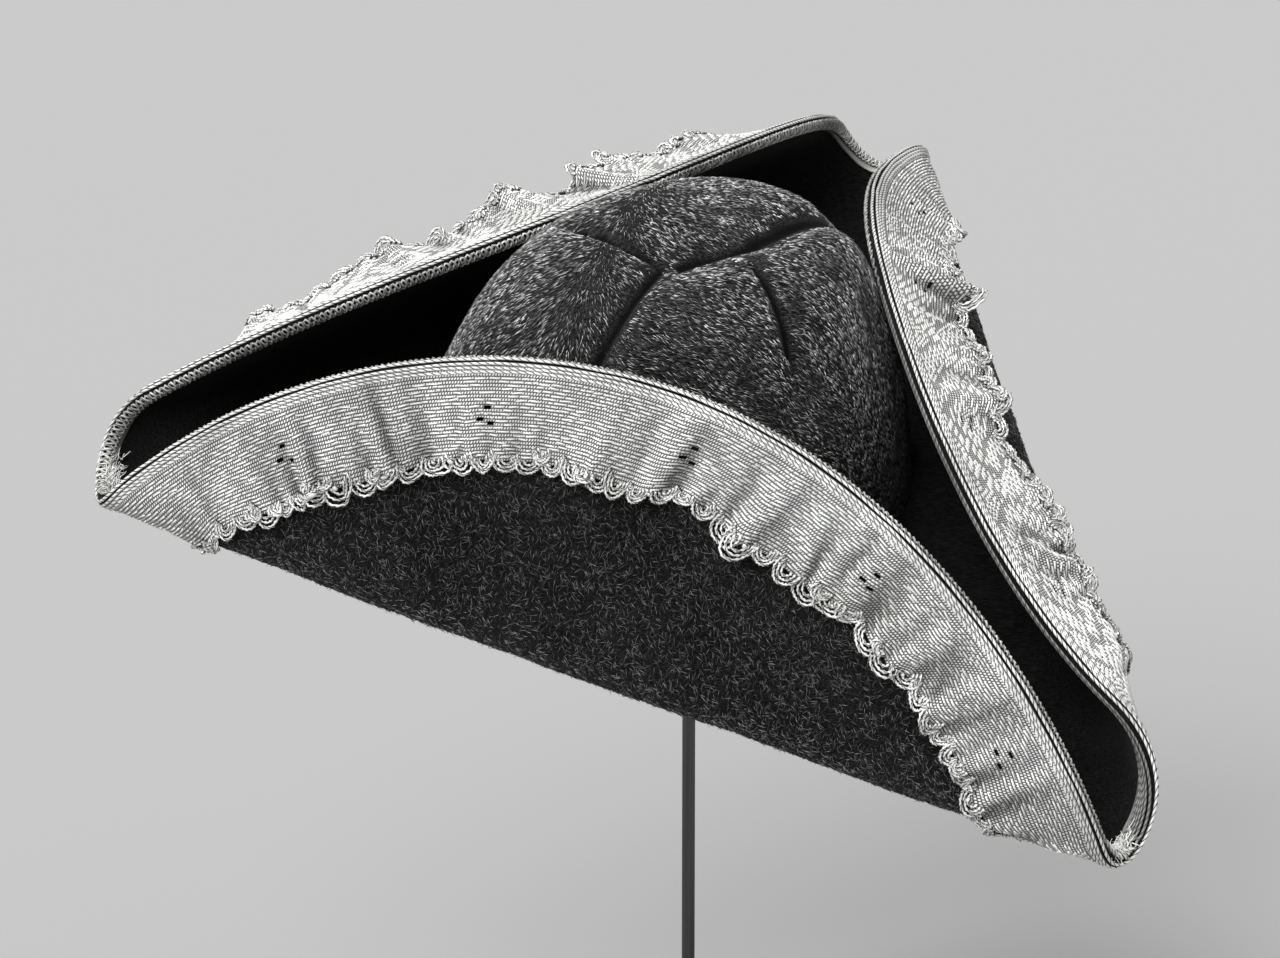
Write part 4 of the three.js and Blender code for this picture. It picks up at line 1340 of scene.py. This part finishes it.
draw = np.random.default_rng(29)
tip_s = [0.0, right_point]
root_s = np.repeat(tip_s, FRAYED_COUNT) + draw.normal(0, FRAYED_SPREAD, 2 * FRAYED_COUNT)
root_way = draw.uniform(*FRAYED_WAYS, 2 * FRAYED_COUNT)
root_lift = np.full(2 * FRAYED_COUNT, FRAYED_LIFT)
roots, outs = over_edge(root_s, root_way, root_lift)
beside = over_edge(root_s + 0.5, root_way, root_lift)[0]
along_edge = unit(beside - roots) * draw.normal(0, 1.2, (len(roots), 1))
away = unit(0.2 * outs + along_edge + draw.normal(0, 0.45, roots.shape))
curl = unit(draw.normal(size=roots.shape))
run = np.linspace(0, 1, FRAYED_STEPS)[None, :, None]
long = draw.uniform(*FRAYED_LENGTHS, (len(roots), 1, 1))
lines = roots[:, None] + away[:, None] * long * run
lines = lines + curl[:, None] * FRAYED_CURL * np.sin(FRAYED_BEND * run) * run
ups = np.broadcast_to(curl[:, None], lines.shape)
frayed_radii = FRAYED_RADIUS * (1 - 0.5 * run[..., 0]) * np.ones((len(roots), 1))
points, faces = tubes(lines, ups, frayed_radii, 3, 0, 1.0, False)[:2]
frayed = mesh_piece("frayed_threads", points, faces, thread_material)

# %% [markdown]
# The nap is fur that stands off the felt. To the eye each hair is dark and catches a little light,
# and the hairs differ, so the fur looks grey and grainy where it is lit. One material serves all of
# them, and a tone stored on each hair tells it how light to be. The tone varies at random, and it
# also carries painted light: the crown's hairs reach near white as a painted sheen.

# %% Hair material
DARKEST_HAIR = "#0f0f0f"
PAINTED_SHEEN_HAIR = "#fafafa"

hair_material, shader = new_material("black_fur_nap", "#3a3a3a", 0.6)
shader.inputs["Specular IOR Level"].default_value = 0.35
tone = node(hair_material, "ShaderNodeAttribute", attribute_name="tone", attribute_type="GEOMETRY")
tones = node(hair_material, "ShaderNodeValToRGB", {"Fac": tone.outputs["Fac"]})
tones.color_ramp.elements[0].color = linear(DARKEST_HAIR)
tones.color_ramp.elements[1].color = linear(PAINTED_SHEEN_HAIR)
hair_material.node_tree.links.new(tones.outputs["Color"], shader.inputs["Base Color"])
print("hair tones run from", DARKEST_HAIR, "to", PAINTED_SHEEN_HAIR)

# %% [markdown]
# A bump alone would give the crown no soft outline, and Blender's own hair isn't a mesh. So each
# hair is a thin closed needle of four faces that lies along the felt, combed one way with some
# strays. Real fur is far finer and denser, and these hairs are drawn as coarse as they have to be to
# show at two metres. Hairs whose middle or tip falls in a crease are left out, and hairs low on the
# crown are darker, as a painted shadow of the flaps.

# %% Scattering hairs
HAIR_SINK = 0.25
HAIR_LENGTHS = (0.55, 1.25)
HAIR_WIDTHS = (0.7, 1.2)
HAIR_LIFTS = (0.3, 1.6)
HAIR_BEND = 0.35
STRAY_WAVE = 16
STRAY_SHARE = 0.6
PATCH_WAVE = 11
WIDE_PATCH_WAVE = 27
TONE_POWER = 2.2
PAINTED_SHADOW_LEVEL = 30
PAINTED_SHADOW_SPAN = 35


def scatter_hairs(name, side, allowed, count, length, thickness, combed, spread, lift, tones, seed):
    """Side is 1 on the upper skin and -1 on the lower; allowed weighs each cell of the felt's grid.
    Spread is how far hairs stray from the comb in radians, and lift how far their tips stand off."""
    draw = np.random.default_rng(seed)
    skin = felt_middle + felt_normals * side * FELT_WALL / 2
    right = np.roll(skin, -1, axis=1)
    cell = np.linalg.norm(np.cross(right[:-1] - skin[:-1], skin[1:] - skin[:-1]), axis=-1)
    weight = (cell * allowed[:-1]).ravel()
    chosen = draw.choice(len(weight), count, p=weight / weight.sum())
    row, column = np.divmod(chosen, width)
    after = (column + 1) % width
    a, b = draw.random((2, count, 1))
    root = (skin[row, column] * (1 - a) + skin[row, after] * a) * (1 - b)
    root += (skin[row + 1, column] * (1 - a) + skin[row + 1, after] * a) * b
    out = unit(felt_normals[row, column] * side)
    lie = combed(root)
    lie = unit(lie - np.sum(lie * out, axis=1, keepdims=True) * out)
    sideways = np.cross(out, lie)
    swirl = ripple(root, seed + 1, STRAY_WAVE)[:, None]
    stray = draw.normal(0, spread, (count, 1)) + STRAY_SHARE * spread * swirl
    heading = lie * np.cos(stray) + sideways * np.sin(stray)
    sideways = np.cross(out, heading)
    long = length * draw.uniform(*HAIR_LENGTHS, (count, 1))
    wide = thickness * draw.uniform(*HAIR_WIDTHS, (count, 1))
    root = root - out * HAIR_SINK
    tip = root + heading * long + out * (HAIR_SINK + lift * draw.uniform(*HAIR_LIFTS, (count, 1)))
    middle = root + heading * long * HAIR_BEND + out * (0.45 + 0.4 * lift)
    points = np.stack([root, middle - sideways * wide, middle + sideways * wide, tip], axis=1)
    if side > 0:
        clear = (bareness(tip) < 0.5) & (bareness((root + tip) / 2) < 0.5)
        points, root = points[clear], root[clear]
        count = len(points)
    shape = np.array(((0, 1, 2), (3, 2, 1), (0, 3, 1), (0, 2, 3)))
    faces = (shape[None] + (np.arange(count) * 4)[:, None, None]).reshape(-1, 3)
    piece = mesh_piece(name, points.reshape(-1, 3), [faces], hair_material)
    patches_and_shadow = 0.8 + (0.32 if side > 0 else 0.1) * ripple(root, seed + 2, PATCH_WAVE)
    if side > 0:
        patches_and_shadow += 0.2 * ripple(root, seed + 3, WIDE_PATCH_WAVE)
        # Hairs low on the crown are darkened: a painted shadow of the flaps.
        patches_and_shadow *= np.clip((root[:, 2] - PAINTED_SHADOW_LEVEL) / PAINTED_SHADOW_SPAN, 0.1, 1)
    patches_and_shadow = np.clip(patches_and_shadow, 0.05, 1.5)
    each = tones[0] + (tones[1] - tones[0]) * draw.random(count) ** TONE_POWER * patches_and_shadow
    layer = piece.data.attributes.new("tone", "FLOAT", "POINT")
    layer.data.foreach_set("value", np.repeat(each, 4).astype(np.float32))


# %% Nap on the crown
CREASE_CLEARING = 0.97


def crown_comb(root):
    """Brushed down the left side, and towards the right over the top and the right side."""
    turn = np.clip((root[:, :1] + COMB_PARTING) / COMB_BLEND, 0, 1)
    return (1 - turn) * np.array((-0.7, -0.55, -0.5)) + turn * np.array((1, -0.12, -0.15))


on_crown = np.array([float(at is crown_at) for at, place in rows])[:, None]
on_crown = on_crown * (1 - CREASE_CLEARING * bare)
# The crown's hairs reach near white: a painted sheen where the light falls on the crown.
scatter_hairs(
    "nap_on_crown", 1, on_crown, 50500, length=3.8, thickness=0.075, combed=crown_comb,
    spread=0.22, lift=0.55, tones=(0.05, 0.9), seed=31)

# %% Nap on the outer sides of the flaps
# Each flap and its number of hairs: the near one is seen from close by and has the most
FLAP_HAIRS = (("front", 30000), ("right", 12000), ("back_left", 12000))
ROWS_UNDER_LACE = 2


def brim_comb(root):
    """Brushed down towards the crown's foot."""
    return np.array((0.25, -0.35, -1.0)) + 0 * root


below_lace = np.array([float(at is inner_brim_at) for at, place in rows])
below_lace[np.flatnonzero(under_lace[:, 0])[:ROWS_UNDER_LACE]] = 1
for index, (name, count) in enumerate(FLAP_HAIRS):
    allowed = below_lace[:, None] * (column_flaps == index)[None, :]
    # The flaps' hairs stay dark: painted shade, as a shaded copy of the crown's fur.
    scatter_hairs(
        f"nap_on_{name}_flap", -1, allowed, count, length=4.2, thickness=0.062, combed=brim_comb,
        spread=1.0, lift=0.5, tones=(0.0, 0.29), seed=41 + index)

# %% [markdown]
# The stand is plain: a turned steel foot, a polished rod and a padded head that fills the top of
# the crown. Its steel is dark and drawn lengthwise, so it shows blurred streaks along the rod and no
# sharp reflection. The noise that makes them is stretched along the rod, and its grain of about a
# millimetre across is as fine as the picture can show.

# %% Steel
POLISH_ACROSS = 900.0
POLISH_ALONG = 14.0

steel_material, shader = new_material(
    "dark_polished_steel", "#6a6a6a", 0.22, Metallic=1.0, Anisotropic=0.9)
place = node(steel_material, "ShaderNodeTexCoord").outputs["Object"]
stretched = node(
    steel_material, "ShaderNodeMapping",
    {"Vector": place, "Scale": (POLISH_ACROSS, POLISH_ACROSS, POLISH_ALONG)})
polish = node(
    steel_material, "ShaderNodeTexNoise",
    {"Vector": stretched.outputs["Vector"], "Scale": 1.0, "Detail": 3.0})
rough = node(
    steel_material, "ShaderNodeMapRange",
    {"Value": polish.outputs["Fac"], "To Min": 0.3, "To Max": 0.42})
steel_material.node_tree.links.new(rough.outputs["Result"], shader.inputs["Roughness"])
tones = node(steel_material, "ShaderNodeValToRGB", {"Fac": polish.outputs["Fac"]})
tones.color_ramp.elements[0].color = linear("#3a3a3a")
tones.color_ramp.elements[1].color = linear("#626262")
steel_material.node_tree.links.new(tones.outputs["Color"], shader.inputs["Base Color"])
round_lines = node(steel_material, "ShaderNodeTangent", direction_type="RADIAL", axis="Z")
steel_material.node_tree.links.new(round_lines.outputs["Tangent"], shader.inputs["Tangent"])
print("steel: one material for the rod and the foot")

# %% [markdown]
# The rod is a plain cylinder at its real size, as long as the CAD rod, because nothing on it asks
# for more. A small bevel breaks its two edges, as a file does on real steel.

# %% Rod
ROD_RADIUS = 2.5
ROD_FIT = 0.3
ROD_BEVEL = 0.4
ROD_SIDES = 48
SMOOTH_BELOW = math.radians(35)

rod_low, rod_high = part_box("stand_rod")
bpy.ops.object.select_all(action="DESELECT")
bpy.ops.mesh.primitive_cylinder_add(
    vertices=ROD_SIDES, radius=ROD_RADIUS * MM, depth=rod_high[2] - rod_low[2],
    location=(0, 0, (rod_high[2] + rod_low[2]) / 2))
rod = bpy.context.active_object
rod.name = "polished_rod"
bpy.ops.object.mode_set(mode="EDIT")
bpy.ops.mesh.select_all(action="SELECT")
bpy.ops.mesh.normals_make_consistent(inside=False)
bpy.ops.object.mode_set(mode="OBJECT")
bpy.ops.object.transform_apply(location=True, rotation=True, scale=True)
bevel = rod.modifiers.new("broken_edges", "BEVEL")
bevel.width = ROD_BEVEL * MM
bevel.segments = 2
bevel.limit_method = "ANGLE"
bpy.ops.object.modifier_apply(modifier="broken_edges")
bpy.ops.object.shade_smooth_by_angle(angle=SMOOTH_BELOW)
rod.data.materials.append(steel_material)
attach(rod, "root")
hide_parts("stand_rod")
print("rod:", round((rod_high[2] - rod_low[2]) / MM, 1), "mm long")

# %% [markdown]
# The foot is a heavy round plate, turned on a lathe, with a low step round the rod's socket. One
# disc is enough: it is extruded to the plate's height, and insets and a short move down make the
# step and the socket, so every ring keeps the disc's own corners. The bevel rounds the rim.

# %% Foot
FOOT_RADIUS = 85
FOOT_HEIGHT = 9
FOOT_SOCKET_FLOOR = 3
FOOT_SIDES = 128
FOOT_ROUNDING = 1.5
COLLAR_RADIUS = 9
COLLAR_STEP = 1.2

bpy.ops.object.select_all(action="DESELECT")
bpy.ops.mesh.primitive_circle_add(
    vertices=FOOT_SIDES, radius=FOOT_RADIUS * MM, fill_type="NGON", location=(0, 0, 0))
foot = bpy.context.active_object
foot.name = "round_foot"
bpy.ops.object.mode_set(mode="EDIT")
bpy.ops.mesh.select_all(action="SELECT")
bpy.ops.mesh.extrude_region_move(TRANSFORM_OT_translate={"value": (0, 0, FOOT_HEIGHT * MM)})
bpy.ops.mesh.inset(thickness=(FOOT_RADIUS - COLLAR_RADIUS) * MM)
bpy.ops.mesh.inset(thickness=COLLAR_STEP * MM)
bpy.ops.transform.translate(value=(0, 0, -COLLAR_STEP * MM / 2))
bpy.ops.mesh.inset(thickness=(COLLAR_RADIUS - COLLAR_STEP - ROD_RADIUS - ROD_FIT) * MM)
socket_depth = FOOT_HEIGHT - COLLAR_STEP / 2 - FOOT_SOCKET_FLOOR
bpy.ops.mesh.extrude_region_move(TRANSFORM_OT_translate={"value": (0, 0, -socket_depth * MM)})
bpy.ops.mesh.select_all(action="SELECT")
bpy.ops.mesh.normals_make_consistent(inside=False)
bpy.ops.object.mode_set(mode="OBJECT")
bpy.ops.object.transform_apply(location=True, rotation=True, scale=True)
bevel = foot.modifiers.new("rounded_edges", "BEVEL")
bevel.width = FOOT_ROUNDING * MM
bevel.segments = 4
bevel.limit_method = "ANGLE"
bevel.angle_limit = math.radians(60)
bpy.ops.object.modifier_apply(modifier="rounded_edges")
bpy.ops.object.shade_smooth_by_angle(angle=SMOOTH_BELOW)
foot.data.materials.append(steel_material)
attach(foot, "root")
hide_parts("stand_foot")
print("foot:", len(foot.data.polygons), "faces")

# %% [markdown]
# Nothing shows how the hat is carried, so the crown rests on a padded dome under its top, covered
# in undyed cotton. Plain cotton is matt and pale, with a faint weave. The real weave is finer than
# half a millimetre, so its unevenness is drawn about a millimetre wide.

# %% Cotton
COTTON_MM = 0.9

cloth_material, shader = new_material("undyed_cotton_cover", "#d9d5cb", 0.9)
place = node(cloth_material, "ShaderNodeTexCoord").outputs["Object"]
thread = node(
    cloth_material, "ShaderNodeTexNoise",
    {"Vector": place, "Scale": 1 / (COTTON_MM * MM), "Detail": 2.0})
tones = node(cloth_material, "ShaderNodeValToRGB", {"Fac": thread.outputs["Fac"]})
tones.color_ramp.elements[0].color = linear("#b9b4a8")
tones.color_ramp.elements[1].color = linear("#e6e3da")
cloth_material.node_tree.links.new(tones.outputs["Color"], shader.inputs["Base Color"])
bump = node(
    cloth_material, "ShaderNodeBump",
    {"Height": thread.outputs["Fac"], "Strength": 0.5, "Distance": THREAD_RELIEF})
cloth_material.node_tree.links.new(bump.outputs["Normal"], shader.inputs["Normal"])
print("cotton grain:", COTTON_MM, "mm")

# %% [markdown]
# A sphere would touch the crown at one point and leave gaps beside it. So the dome uses the crown's
# own curves, without the furrows: it starts under the deepest crease and a little inside the felt.
# Its edge rolls in over a few rings, and the underside is flat.

# %% Padded head
HEAD_REACH = 0.52
HEAD_EDGE = 12
HEAD_CLEARANCE = 0.5
HEAD_ROWS = 20
HEAD_COLUMNS = 96
ROLL_STEPS = 6
ROLL_IN = 0.08
UNDERSIDE_RINGS = (0.75, 0.5, 0.25, 0.08)

deepest = crown_half_length * max(furrow[4] for furrow in FURROWS) + CREASE_DEPTH


def dome_at(angle, share):
    fall = band_fall * share ** 2
    x = CROWN_CENTRE_X + crown_radius(angle, fall) * np.cos(angle)
    y = CROWN_CENTRE_Y + crown_radius(angle, fall) * np.sin(angle)
    return stacked(x, y, crown_level(fall) - deepest)


head_angles = np.arange(HEAD_COLUMNS) * 2 * np.pi / HEAD_COLUMNS
inside = FELT_WALL / 2 + HEAD_CLEARANCE
head_rings = []
for row in range(1, HEAD_ROWS + 1):
    points, normals = with_normals(dome_at, head_angles, HEAD_REACH * row / HEAD_ROWS)
    head_rings.append(points - normals * inside)
rim_ring = head_rings[-1]
centre = np.array((CROWN_CENTRE_X, CROWN_CENTRE_Y, 0))
head_floor = float(crown_level(band_fall * HEAD_REACH ** 2)) - deepest - HEAD_EDGE
for part in range(1, ROLL_STEPS + 1):
    share = part / ROLL_STEPS
    inward = (rim_ring - centre) * (1, 1, 0)
    ring = centre + inward * (1 - ROLL_IN * (1 - math.cos(share * math.pi / 2)))
    ring[:, 2] = rim_ring[:, 2] * (1 - share) + head_floor * share
    head_rings.append(ring)
floor_ring = head_rings[-1]
for share in UNDERSIDE_RINGS:
    head_rings.append(centre + (floor_ring - centre) * (share, share, 1))
head_top = np.array((CROWN_CENTRE_X, CROWN_CENTRE_Y, CROWN_HEIGHT - deepest - inside))
rings = np.array(head_rings)
under = np.array((CROWN_CENTRE_X, CROWN_CENTRE_Y, head_floor))
head_points = np.concatenate([rings.reshape(-1, 3), [head_top, under]])
ring_index = np.arange(HEAD_COLUMNS)
ring_after = (ring_index + 1) % HEAD_COLUMNS
last = (len(rings) - 1) * HEAD_COLUMNS
fans = [
    np.stack([np.full(HEAD_COLUMNS, len(head_points) - 2), ring_index, ring_after], axis=-1),
    np.stack([last + ring_index, np.full(HEAD_COLUMNS, len(head_points) - 1), last + ring_after], axis=-1),
]
head_faces = [grid_faces(len(rings), HEAD_COLUMNS), *fans]
head = mesh_piece("padded_head", head_points, head_faces, cloth_material)
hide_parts("stand_head")

# %% Triangles of the dressed pieces
added = [piece for piece in bpy.data.objects if piece.type == "MESH" and piece.name in added_names]
print("triangles added:", sum(len(face.vertices) - 2 for piece in added for face in piece.data.polygons))
